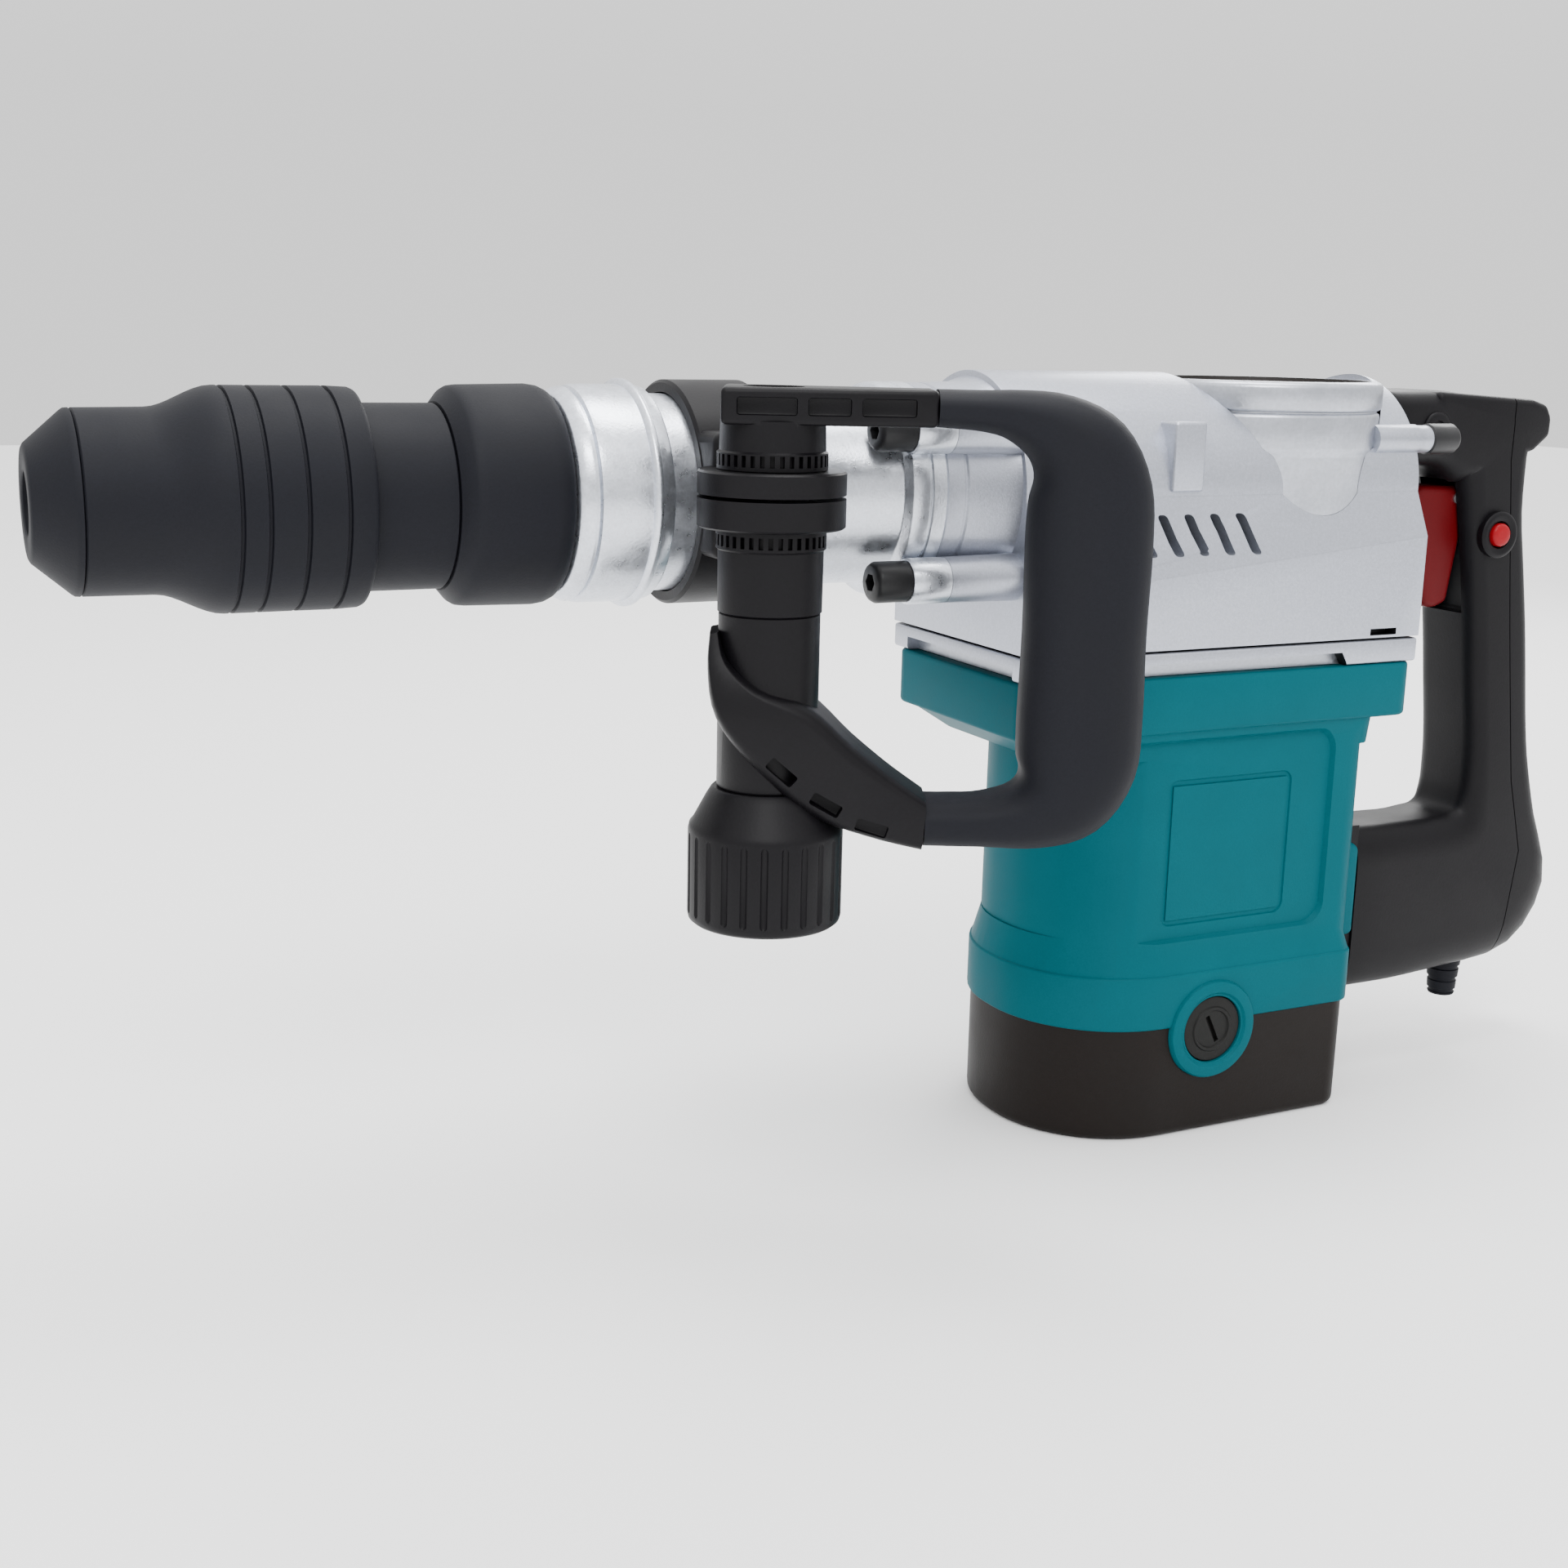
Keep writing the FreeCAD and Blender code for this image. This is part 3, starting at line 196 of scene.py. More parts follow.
def banded(made, across, dark, bands):
    """Adds fine parallel bands, as on stacked sheets or wound wire, to a finish."""
    tree = made.node_tree
    shader = tree.nodes["Principled BSDF"]
    old = shader.inputs["Base Color"].links[0].from_socket
    coordinates = node(tree, "ShaderNodeTexCoord")
    wave = node(tree, "ShaderNodeTexWave", bands_direction=across)
    wave.inputs["Scale"].default_value = bands
    wave.inputs["Distortion"].default_value = 0.2
    tree.links.new(coordinates.outputs["Object"], wave.inputs["Vector"])
    mix = node(tree, "ShaderNodeMix", data_type="RGBA")
    mix.inputs["B"].default_value = (*dark, 1)
    tree.links.new(wave.outputs["Fac"], mix.inputs["Factor"])
    tree.links.new(old, mix.inputs["A"])
    tree.links.new(mix.outputs["Result"], shader.inputs["Base Color"])
    return made


# %% [markdown]
# Each material slot has one finish, and the barrel has a brighter copy of the cast silver, whose extra
# brightness is a painted highlight. Plastics differ mostly in gloss: rubber is dull and a little blue,
# glass-filled nylon has a soft sheen, and the motor shell is a fine moulded texture. Metals differ in grain:
# machined steel is drawn out along the barrel, castings are blotchy, paint has tiny flakes.

# %% Every finish by its slot
FINISHES = {
    "rubber_black": finish("rubber_black", (0.0046, 0.0050, 0.0080), 0.62, grain=1400, lift=0.16, gloss=0.16),
    "nylon_black": finish("nylon_black", (0.0032, 0.0028, 0.0038), 0.46, grain=1100, lift=0.14, gloss=0.15),
    "teal_plastic": finish("teal_plastic", (0.0, 0.078, 0.098), 0.48, mottle=0.06, grain=1500, lift=0.12,
                           gloss=0.05),
    "cover_plastic": finish("cover_plastic", (0.0050, 0.0030, 0.0022), 0.50, grain=1300, lift=0.14,
                            gloss=0.15),
    "silver_paint": finish("silver_paint", (0.42, 0.44, 0.50), 0.32, 0.75, mottle=0.10, patch=900,
                           grain=1600, lift=0.18, spread=0.04),
    "cast_aluminium": finish("cast_aluminium", (0.46, 0.48, 0.53), 0.34, 0.9, mottle=0.12, patch=90,
                             grain=700,
                             lift=0.22),
    # A brighter copy of the cast silver for the barrel: its real silver plus a painted highlight.
    "barrel_with_painted_highlight": finish("barrel_with_painted_highlight", (0.66, 0.69, 0.75), 0.30, 0.92, mottle=0.12, patch=300,
                             grain=1100,
                             lift=0.20),
    "steel": finish("steel", (0.52, 0.52, 0.54), 0.30, 1.0, grain=500, stretch=(0.05, 1, 1), lift=0.12),
    "gear_steel": finish("gear_steel", (0.40, 0.40, 0.42), 0.34, 1.0, grain=600, stretch=(1, 1, 0.1),
                         lift=0.10),
    "bearing_steel": finish("bearing_steel", (0.62, 0.62, 0.65), 0.18, 1.0, mottle=0.05, lift=0.04),
    "laminate_steel": banded(finish("laminate_steel", (0.24, 0.24, 0.26), 0.5, 0.8), "Z", (0.08, 0.08, 0.09),
                             500),
    "copper": banded(finish("copper", (0.62, 0.26, 0.11), 0.32, 0.9), "Z", (0.30, 0.10, 0.04), 350),
    "carbon": finish("carbon", (0.05, 0.05, 0.055), 0.7, 0.1, mottle=0.3, patch=300, grain=2000, lift=0.3),
    "brass": finish("brass", (0.70, 0.52, 0.20), 0.3, 1.0, lift=0.05),
    "trigger_red": finish("trigger_red", (0.085, 0.0012, 0.0028), 0.42, mottle=0.08, grain=1500, lift=0.08,
                          gloss=0.12),
    "button_red": finish("button_red", (0.24, 0.0020, 0.007), 0.30, mottle=0.05, grain=1500, lift=0.03,
                         gloss=0.15),
    "bolt_black": finish("bolt_black", (0.007, 0.007, 0.008), 0.42, mottle=0.2, lift=0.06, gloss=0.3),
    "switch_plastic": finish("switch_plastic", (0.006, 0.006, 0.007), 0.5, gloss=0.25),
    "brush_cap_plastic": finish("brush_cap_plastic", (0.0065, 0.0065, 0.0060), 0.48, lift=0.12, gloss=0.16),
    "fan_plastic": finish("fan_plastic", (0.09, 0.09, 0.10), 0.45),
}
for name, thing in frame["nodes"].items():
    thing.data.materials.clear()
    thing.data.materials.append(FINISHES[slot_of[name]])
print(len(FINISHES), "finishes")

# %% [markdown]
# ## Hand tools
# A few small helpers do by script what a modeller does by hand: pick an object, pick its points by
# place, apply a modifier, cut or join two solids. Each new primitive has its place put into its mesh.

# %% Helpers for picking and finishing
def only(piece):
    nothing_selected()
    piece.select_set(True)
    bpy.context.view_layer.objects.active = piece


def settle(name):
    piece = bpy.context.object
    piece.name = name
    bpy.ops.object.transform_apply(location=True, rotation=True, scale=True)
    return piece


def select_by(kind):
    bpy.context.tool_settings.mesh_select_mode = [kind == each for each in ("VERT", "EDGE", "FACE")]


def pick(piece, faces=None, edges=None, points=None):
    """Selects parts of a mesh by a test and leaves the piece in edit mode."""
    only(piece)
    select_by("FACE" if faces else "EDGE" if edges else "VERT")
    mesh = piece.data
    for group in (mesh.vertices, mesh.edges, mesh.polygons):
        group.foreach_set("select", [False] * len(group))
    if points:
        for point in mesh.vertices:
            point.select = points(point.co)
    if edges:
        for edge in mesh.edges:
            edge.select = edges(*[mesh.vertices[i].co for i in edge.vertices])
    if faces:
        for face in mesh.polygons:
            face.select = faces(face.center, face.normal)
    bpy.ops.object.mode_set(mode="EDIT")


def apply(piece, modifier):
    only(piece)
    bpy.ops.object.modifier_apply(modifier=modifier.name)


def rounded(piece, width, segments=3, angle=32):
    modifier = piece.modifiers.new("rounding", "BEVEL")
    modifier.width, modifier.segments = width * MM, segments
    modifier.limit_method, modifier.angle_limit = "ANGLE", math.radians(angle)
    apply(piece, modifier)
    return piece


def combine(piece, other, how):
    modifier = piece.modifiers.new("solids", "BOOLEAN")
    modifier.object, modifier.operation, modifier.solver = other, how, "MANIFOLD"
    apply(piece, modifier)
    bpy.data.objects.remove(other)
    return piece


def joined(piece, *others):
    for other in others:
        combine(piece, other, "UNION")
    return piece


def carved(piece, *others):
    for other in others:
        combine(piece, other, "DIFFERENCE")
    return piece


def block(name, low, high):
    """A box between two corners, given in millimetres."""
    nothing_selected()
    low, high = (Vector(end(pair) for pair in zip(low, high)) * MM for end in (min, max))
    bpy.ops.mesh.primitive_cube_add(size=1, location=(low + high) / 2, scale=high - low)
    return settle(name)


def place_on(piece, *nodes):
    """Smooths a piece, gives it the finish of the node it stands for, and rides it on that body."""
    only(piece)
    bpy.ops.object.shade_smooth_by_angle(angle=math.radians(40))
    piece.data.materials.clear()
    piece.data.materials.append(FINISHES[slot_of[nodes[0]]])
    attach(piece, body_of[nodes[0]])
    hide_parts(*nodes)
    print(f"{piece.name:22s} faces {len(piece.data.polygons)}")
    return piece


# %% [markdown]
# One piece can show two finishes: the inside of a slot is painted black as painted shade, a brighter copy
# of a metal is put on as a painted highlight, and a rubber or plastic insert sits in a metal part. The
# faces that a test picks get the second finish.

# %% Helper for a second finish
def inlaid(piece, slot, faces):
    piece.data.materials.append(FINISHES[slot])
    last = len(piece.data.materials) - 1
    count = 0
    for face in piece.data.polygons:
        if faces(face.center * 1000, face.normal):
            face.material_index = last
            count += 1
    print(f"{piece.name:22s} {count} faces in {slot}")


# %% [markdown]
# Anything round is turned, as on a lathe: a ring of points is extruded from station to station and
# resized at each one. A profile that ends where it began makes a tube with a bore.

# %% Helper for turned pieces
AXES = {"X": (Vector((1, 0, 0)), (0, math.pi / 2, 0)), "Y": (Vector((0, 1, 0)), (-math.pi / 2, 0, 0)),
        "Z": (Vector((0, 0, 1)), (0, 0, 0))}


def turned(name, profile, axis="X", centre=(0, 0, 0), sides=96):
    along, tilt = AXES[axis]
    centre = Vector(centre) * MM
    bored = profile[0] == profile[-1]
    nothing_selected()
    bpy.ops.mesh.primitive_circle_add(vertices=sides, radius=profile[0][1] * MM, rotation=tilt,
                                      fill_type="NOTHING" if bored else "NGON",
                                      location=centre + along * profile[0][0] * MM)
    piece = settle(name)
    select_by("VERT")
    bpy.ops.object.mode_set(mode="EDIT")
    bpy.ops.mesh.select_all(action="SELECT")
    for (before, old_radius), (after, radius) in zip(profile, profile[1:]):
        step = along * (after - before) * MM
        bpy.ops.mesh.extrude_region_move(TRANSFORM_OT_translate={"value": step})
        ratio = radius / old_radius
        bpy.ops.transform.resize(value=(ratio, ratio, ratio), center_override=centre + along * after * MM)
    bpy.ops.mesh.select_all(action="SELECT")
    bpy.ops.mesh.remove_doubles(threshold=1e-6)
    bpy.ops.mesh.normals_make_consistent(inside=False)
    bpy.ops.object.mode_set(mode="OBJECT")
    return piece

# %% [markdown]
# ## Nose and chuck
# The dust cap keeps grit out of the bore. Behind it sits the long release sleeve that the user pulls
# back: a plain front, a swelling shoulder and a fatter grip with four thin grooves round it.

# %% Dust cap and release sleeve
def swelling(value, start, end, low, high):
    """A smooth S-curve from low to high as value goes from start to end."""
    share = max(0.0, min(1.0, (value - start) / (end - start)))
    return low + (high - low) * (3 * share ** 2 - 2 * share ** 3)


cap = turned("nose_cap", [(4, 9.1), (0.4, 9.1), (0, 9.6), (0, 15.8), (0.5, 16.8), (10.6, 25.7), (11.5, 26.3),
                          (12.7, 26.4), (12.9, 26.1), (12.9, 17), (4, 17), (4, 9.1)])
place_on(cap, "dust_cap")

SHOULDER_START, SHOULDER_END, SLEEVE_END, GRIP_RADIUS = 33, 52, 92, 32.8
outline = [(13.1, 17), (13.1, 25.9), (13.6, 26.4), (25, 26.5)]
for k in range(9):
    x = SHOULDER_START + k * (SHOULDER_END - SHOULDER_START) / 8
    outline.append((x, swelling(x, SHOULDER_START, SHOULDER_END, 26.6, GRIP_RADIUS)))
for groove in (53.6, 61.3, 72, 83.4):
    outline += [(groove - 0.7, GRIP_RADIUS), (groove - 0.35, GRIP_RADIUS - 0.9),
                (groove + 0.35, GRIP_RADIUS - 0.9),
                (groove + 0.7, GRIP_RADIUS)]
outline += [(90.5, 32.5), (91.6, 32.0), (SLEEVE_END, 31.2), (SLEEVE_END, 28.4), (51.4, 28.4), (51.4, 25.4),
            (35.6, 20.2), (35.6, 17), (13.1, 17)]
place_on(turned("grip_sleeve", outline), "release_sleeve")

# %% [markdown]
# The neck and the ring behind it are the same rubbery black. The ring has a crisp front edge and a
# rounded back, so its profile takes a few more points there.

# %% Neck and mode ring
place_on(turned("neck_band", [(82, 22), (82, 27.9), (116.2, 27.9), (116.7, 27.4), (116.7, 22), (82, 22)]),
         "neck_shroud")
ring_back = [(145 + 6.5 * math.sin(t), 30.2 + 3.6 * math.cos(t)) for t in (0, 0.5, 0.9, 1.25, 1.5)]
place_on(turned("change_ring", [(117, 22.4), (117, 28.4), (117.6, 29), (120.4, 32.4), (121.6, 33.1),
                                (124, 33.4),
                                *ring_back, (151.5, 22.4), (117, 22.4)]), "mode_ring")

# %% [markdown]
# ## Barrel
# The barrel is one casting, coloured a brighter silver than the others as a painted highlight. Thin ribs
# and a groove catch the light behind the ring, the clamp sits on its plain part, and a flange with four
# bolt bosses joins it to the gear housing.

# %% Barrel casting
BOLTS = [(side * 33, z) for side in (-1, 1) for z in (-27, 21)]
barrel = turned("barrel_with_painted_highlight", [
    (152, 25), (152, 30.4), (152.6, 31.4), (156.4, 33.2), (157, 33.2), (157.4, 32.2), (158.2, 32.2),
    (158.8, 33.4),
    (160.7, 33.8), (174.8, 33.9), (175.4, 35.4), (175.9, 35.7), (176.9, 35.7), (177.4, 35.3), (177.9, 33.9),
    (181.6, 33.4), (182.2, 32.8), (183, 31), (261.6, 31), (262.4, 31.6), (263.4, 34.6), (264.2, 35.2),
    (269.4, 35.4),
    (269.9, 34.8), (270.5, 34.8), (271, 35.4), (275.6, 35.4), (276, 35), (276, 26), (158, 26), (158, 25),
    (152, 25)])
for y, z in BOLTS:
    boss = turned("boss", [(262.2, 7.0), (262.8, 7.5), (275.9, 7.5)], centre=(0, y, z), sides=40)
    joined(barrel, boss)
place_on(barrel, "barrel_housing")
# Every barrel face takes the brighter silver, a painted highlight over the casting's own colour.
inlaid(barrel, "barrel_with_painted_highlight", lambda c, n: True)

# %% [markdown]
# Each bolt has a round black head with a soft edge and a hexagon socket. One is modelled and the other
# three are copies with their own mesh.

# %% Barrel bolts
bolt = turned("bolt", [(249.6, 5.0), (250.2, 6.0), (251.4, 6.7), (261.9, 6.7), (262, 3), (298.5, 3)],
              centre=(0, *BOLTS[0]), sides=40)
socket = turned("socket", [(249, 3), (255, 3)], centre=(0, *BOLTS[0]), sides=6)
carved(bolt, socket)
bolt_set = [bolt]
for y, z in BOLTS[1:]:
    only(bolt)
    bpy.ops.object.duplicate()
    copy = bpy.context.object
    copy.location = (0, (y - BOLTS[0][0]) * MM, (z - BOLTS[0][1]) * MM)
    bolt_set.append(settle("bolt"))
nothing_selected()
for one in bolt_set:
    one.select_set(True)
bpy.context.view_layer.objects.active = bolt
bpy.ops.object.join()
bolt.name = "housing_bolts"
place_on(bolt, "barrel_bolts")

# %% [markdown]
# ## Gear housing
# The silver housing is a half-round roof over a box that widens downwards. A block gets its two top
# edges bevelled until they meet in an arch, then it is cut across at the shoulder and along a slanting
# crease, and everything below the crease is widened.

# %% Gear housing shell
ROOF, SIDE, FRONT, REAR, FOOT = 39.5, 46.5, 303, 470, -62
shell = block("gear_case", (FRONT, -ROOF, -52.6), (REAR, ROOF, ROOF))
pick(shell, edges=lambda a, b: min(a.z, b.z) > 0.03 and abs(a.x - b.x) > 0.1)
bpy.ops.mesh.bevel(offset=ROOF * MM * 0.9999, segments=28, affect="EDGES", clamp_overlap=False)
bpy.ops.object.mode_set(mode="OBJECT")


def slice_across(piece, point, normal):
    pick(piece, points=lambda p: True)
    bpy.ops.mesh.bisect(plane_co=Vector(point) * MM, plane_no=normal)
    bpy.ops.object.mode_set(mode="OBJECT")


slice_across(shell, (FRONT, 0, -1), (0, 0, 1))
CREASE_FRONT, CREASE_REAR = -33, -16.4
slope = (CREASE_REAR - CREASE_FRONT) / (REAR - FRONT)
slice_across(shell, (REAR, 0, CREASE_REAR), (-slope, 0, 1))
pick(shell, points=lambda p: p.z * 1000 < CREASE_REAR + (p.x * 1000 - REAR) * slope + 0.5)
bpy.ops.transform.resize(value=(1, SIDE / ROOF, 1), center_override=(0, 0, 0))
bpy.ops.object.mode_set(mode="OBJECT")
rounded(shell, 2.6, 4, 14)
print("shell points", len(shell.data.vertices))

# %% [markdown]
# The neck, the bosses, the small raised pad and two rear bosses with black screw sleeves are joined on.
# Cuts come after the joins: the bore and the inside, the seat for the crank tower, five slanted vents
# a side and a small slot at the back. The inside walls and the backs and roofs of the gaps and slots then
# get black as painted shade, and the screw sleeves get the same black as their own colour.

# %% Gear housing details
neck = turned("neck", [(276.1, 34.6), (276.6, 35.1), (282.6, 35.1), (283.1, 34.5), (283.7, 34.5),
                       (284.3, 35.1),
                       (298, 35.6), (303, 37.5), (306, 38.5)])
joined(shell, neck)
for y, z in BOLTS:
    joined(shell, turned("boss", [(276.1, 7.5), (304, 7.9)], centre=(0, y, z), sides=40))
for side in (-1, 1):
    pad = block("pad", (360, side * 30, 0.5), (373, side * 41.2, 24))
    joined(shell, rounded(pad, 1.2, 3))
inside = block("inside", (308, -33, -60), (463, 33, 14))
carved(shell, rounded(inside, 3, 2))
carved(shell, turned("bore", [(270, 26), (312, 26)]))
CRANK = 425
seat = turned("seat", [(-14.4, 42.9), (13.6, 42.9), (14.4, 44.3), (60, 44.9)], "Z", (CRANK, 0, 0))
carved(shell, seat)
for side in (-1, 1):
    joined(shell, turned("rear_boss", [(450, 5.3), (469.4, 5.3), (470, 4.9), (475.4, 4.9), (476, 5.5),
                                       (487, 5.5),
                                       (488.4, 4.6), (488.4, 2.6), (486.6, 2.2)],
                                       centre=(0, side * 34.6, 17.4), sides=40))


def vent(side, start):
    """A slanted slot: a rounded block leaned back at its lower end."""
    slot = block("vent", (start, side * 31, -21), (start + 4, side * 60, -7))
    pick(slot, points=lambda p: p.z < -0.014)
    bpy.ops.transform.translate(value=(0.0062, 0, 0))
    bpy.ops.object.mode_set(mode="OBJECT")
    return rounded(slot, 1.6, 4)


for side in (-1, 1):
    for k in range(5):
        carved(shell, vent(side, 343.5 + 10.8 * k))
    carved(shell, block("slot", (447, side * 41, -51.6), (459, side * 60, -49.2)))
strip = rounded(block("strip", (303, -46.4, -61.9), (470, 46.4, -53.3)), 1.2, 3)
carved(strip, block("strip_inside", (312, -38, -64), (461, 38, -50)))
for side in (-1, 1):
    gap = block("gap", (351, side * 40.4, -64), (435, side * 50, -57.2))
    pick(gap, points=lambda p: p.z < -0.06)
    bpy.ops.transform.resize(value=(1.1, 1, 1), center_override=(0.393, 0, 0))
    bpy.ops.object.mode_set(mode="OBJECT")
    carved(strip, gap)
carved(strip, block("front_gap", (300, -36, -64), (309, 36, -57.2)))
only(shell)
strip.select_set(True)
bpy.ops.object.join()
place_on(shell, "gear_housing")


def painted_shade_and_sleeves(c, n):
    """Painted shade on the inside walls and the backs and roofs of the gaps and slots; the screw sleeves
    behind are black of their own.
    """
    inside_wall = 307 < c.x < 464 and abs(c.y) < 33.2 and -60.2 < c.z < 14.2
    under_gap = (c.z < -57 and 305 < c.x < 445
                 and (abs(c.y) < 45.8 if 350 < c.x else abs(c.y) < 36.2) and c.z > -61.8)
    rear_slot = 446.9 < c.x < 459.1 and 40.9 < abs(c.y) < 46 and -51.7 < c.z < -49.1
    return inside_wall or under_gap or rear_slot or c.x > 475.3


# Black on these faces: painted shade inside the housing and in the gaps and slots, real black on the screw
# sleeves.
inlaid(shell, "bolt_black", painted_shade_and_sleeves)

# %% [markdown]
# The crank tower is bare casting: a round wall that widens in two steps to carry the crank cap. The
# cap is a thick disc with a soft rim and a shallow dish, and the flat top in the dish is dark.

# %% Crank tower and cap
tower = turned("tower", [(-14, 35.5), (-14, 40.6), (-12.4, 41.9), (-9.6, 42.6), (-6, 42.8), (11.4, 42.8),
                         (12.6, 43.1),
                         (13.6, 43.8), (14.8, 44.1), (25, 44.2), (26, 43.9), (26.6, 43.1), (27, 43.1),
                         (27, 35.5),
                         (-14, 35.5)], "Z", (CRANK, 0, 0))
carved(tower, turned("window", [(370, 22.4), (400, 22.4)]))
place_on(tower, "crank_tower")
crank_lid = turned("crank_lid", [
    (22, 34.9), (27.1, 34.9), (27.1, 43.4), (27.6, 44.3), (28.6, 44.8), (35.2, 44.8), (36.2, 44.5),
    (37, 43.6),
    (37.4, 42.4), (37.4, 40.5), (36.2, 39.6), (36.0, 38), (36.0, 12), (36.4, 10), (36.4, 4)], "Z",
    (CRANK, 0, 0), 128)
place_on(crank_lid, "crank_cap")
inlaid(crank_lid, "cover_plastic", lambda c,
       n: n.z > 0.5 and (c.xy - Vector((CRANK, 0))).length < 40.6 and c.z > 35.9)

# %% [markdown]
# ## Motor housing
# The teal shell is one moulding. Seen from above its body is round in front and square behind, so a
# block gets large bevels on its front edges and small ones behind. The collar, the lip and the two
# brush bosses are made the same way and joined on.

# %% Helper for upright shells
def upright(name, low, high, front_round, rear_round, segments=14):
    """A block with its four upright edges rounded, the front pair more than the rear pair.

    It is rounded while it is tall, because a large bevel on a low block folds over itself.
    """
    spare = 200
    piece = block(name, (*low[:2], low[2] - spare), (*high[:2], high[2] + spare))
    middle = (low[0] + high[0]) / 2 * MM
    half = (high[0] - low[0]) / 2 * MM
    for ahead, radius in ((True, front_round), (False, rear_round)):
        pick(piece, edges=lambda a, b: abs(a.z - b.z) > 0.002 and (a.x < middle) == ahead
             and abs(a.x - middle) > half - 1e-5)
        bpy.ops.mesh.bevel(offset=radius * MM, segments=segments, affect="EDGES", clamp_overlap=False)
        bpy.ops.object.mode_set(mode="OBJECT")
    level = (low[2] + high[2]) / 2 * MM
    for above in (True, False):
        pick(piece, points=lambda p: (p.z > level) == above)
        bpy.ops.transform.translate(value=(0, 0, -spare * MM if above else spare * MM))
        bpy.ops.object.mode_set(mode="OBJECT")
    return piece


def scaled_end(piece, at, factor, about):
    """Draws in all points at one level towards an upright line, as a taper or a chamfer does."""
    pick(piece, points=lambda p: abs(p.z - at * MM) < 1e-5)
    bpy.ops.transform.resize(value=(factor[0], factor[1], 1), center_override=(about * MM, 0, at * MM))
    bpy.ops.object.mode_set(mode="OBJECT")


# %% Motor housing shell
MOTOR = 388.1
BODY = {"front": 326, "rear": 454, "side": 44}
LIP_SIDE = 47.5
motor = upright("motor_case", (BODY["front"], -BODY["side"], -190), (BODY["rear"], BODY["side"], -70), 42, 9)
collar = upright("collar", (303, -46.5, -82), (470, 46.5, -62.2), 9, 7, 6)
joined(motor, rounded(collar, 1.4, 3, 40))
under = upright("under", (304.5, -45.2, -92), (456, 45.2, -81), 9, 7, 6)
scaled_end(under, -92, (0.885, 0.955), 456)
joined(motor, under)
lip = upright("lip", (322, -LIP_SIDE, -190), (454, LIP_SIDE, -170), 45, 8)
joined(motor, rounded(lip, 1.0, 3, 40))
flare = upright("flare", (322.4, -LIP_SIDE + 0.4, -171), (453.9, LIP_SIDE - 0.4, -158), 45, 8)
scaled_end(flare, -158, (0.955, 0.915), 388)
joined(motor, flare)
bracket = block("bracket", (450, -18.2, -176), (477.8, 18.2, -128))
pick(bracket, points=lambda p: p.z > -0.129 and p.x > 0.47)
bpy.ops.transform.translate(value=(0, 0, -0.012))
bpy.ops.object.mode_set(mode="OBJECT")
joined(motor, rounded(bracket, 2.5, 4))
print("motor shell points", len(motor.data.vertices))

# %% [markdown]
# Each side has a large sunk panel with a smaller, shallower frame inside it. Both are cut with
# rounded blocks. The brush boss is a round ring that hangs over the edge of the bottom cover.

# %% Motor housing panels and bosses
def panel(side, low, high, depth, corner):
    tool = block("panel", (low[0], side * (BODY["side"] - depth), low[1]), (high[0], side * 60, high[1]))
    pick(tool, edges=lambda a, b: abs(a.y - b.y) > 0.005)
    bpy.ops.mesh.bevel(offset=corner * MM, segments=6, affect="EDGES")
    bpy.ops.object.mode_set(mode="OBJECT")
    pick(tool, points=lambda p: abs(p.y) > 0.05)
    wide = 1 + 2.2 * (60 - BODY["side"]) / depth / (high[0] - low[0])
    tall = 1 + 2.2 * (60 - BODY["side"]) / depth / (high[1] - low[1])
    bpy.ops.transform.resize(value=(wide, 1, tall), center_override=((low[0] + high[0]) / 2 * MM, 0,
                                                                      (low[1] + high[1]) / 2 * MM))
    bpy.ops.object.mode_set(mode="OBJECT")
    return tool


BRUSH = -192.5
for side in (-1, 1):
    carved(motor, panel(side, (342, -158), (437, -86), 1.8, 8))
    frame_line = panel(side, (366, -153), (420, -100), 2.4, 4)
    island = block("island", (368, side * 30, -151), (418, side * (BODY["side"] - 1.8), -102))
    carved(motor, carved(frame_line, island))
    boss = turned("boss", [(side * 30, 18.5), (side * 47.6, 18.5), (side * 48.6, 17.9), (side * 48.9, 16.8),
                           (side * 48.9, 14.2), (side * 48.0, 13.4)], "Y", (MOTOR, 0, BRUSH), 64)
    joined(motor, boss)
inner = turned("inner", [(-212, 39.5), (-88, 39.5)], "Z", (MOTOR, 0, 0))
carved(motor, inner)
carved(motor, block("well", (308, -41, -80), (465, 41, -60)),
       block("well", (332, -38, -88.5), (448, 38, -79)))
carved(motor, turned("cap_seat", [(-60, 12.6), (60, 12.6)], "Y", (MOTOR, 0, BRUSH), 64))
place_on(motor, "motor_housing")

# %% [markdown]
# The bottom cover repeats the plan of the lip, and its lower edge is well rounded because it takes
# the knocks.

# %% Bottom cover
cover = upright("base_cover", (323.5, -46.5, -232), (453, 46.5, -190.1), 44.5, 9)
pick(cover, edges=lambda a, b: max(a.z, b.z) < -0.2319)
bpy.ops.mesh.bevel(offset=3.2 * MM, segments=5, affect="EDGES")
bpy.ops.object.mode_set(mode="OBJECT")
scaled_end(cover, -190.1, (1.002, 1.004), MOTOR)
hollow_part = upright("hollow", (327.5, -43, -228.5), (449, 43, -180), 41, 6)
carved(cover, hollow_part)
for side in (-1, 1):
    carved(cover, turned("notch", [(side * 35, 18.7), (side * 60, 18.7)], "Y", (MOTOR, 0, BRUSH), 64))
place_on(cover, "bottom_cover")

# %% [markdown]
# A brush cap is a slotted plug with a raised ring round the slot. It is turned, and the slot is cut
# across its middle.

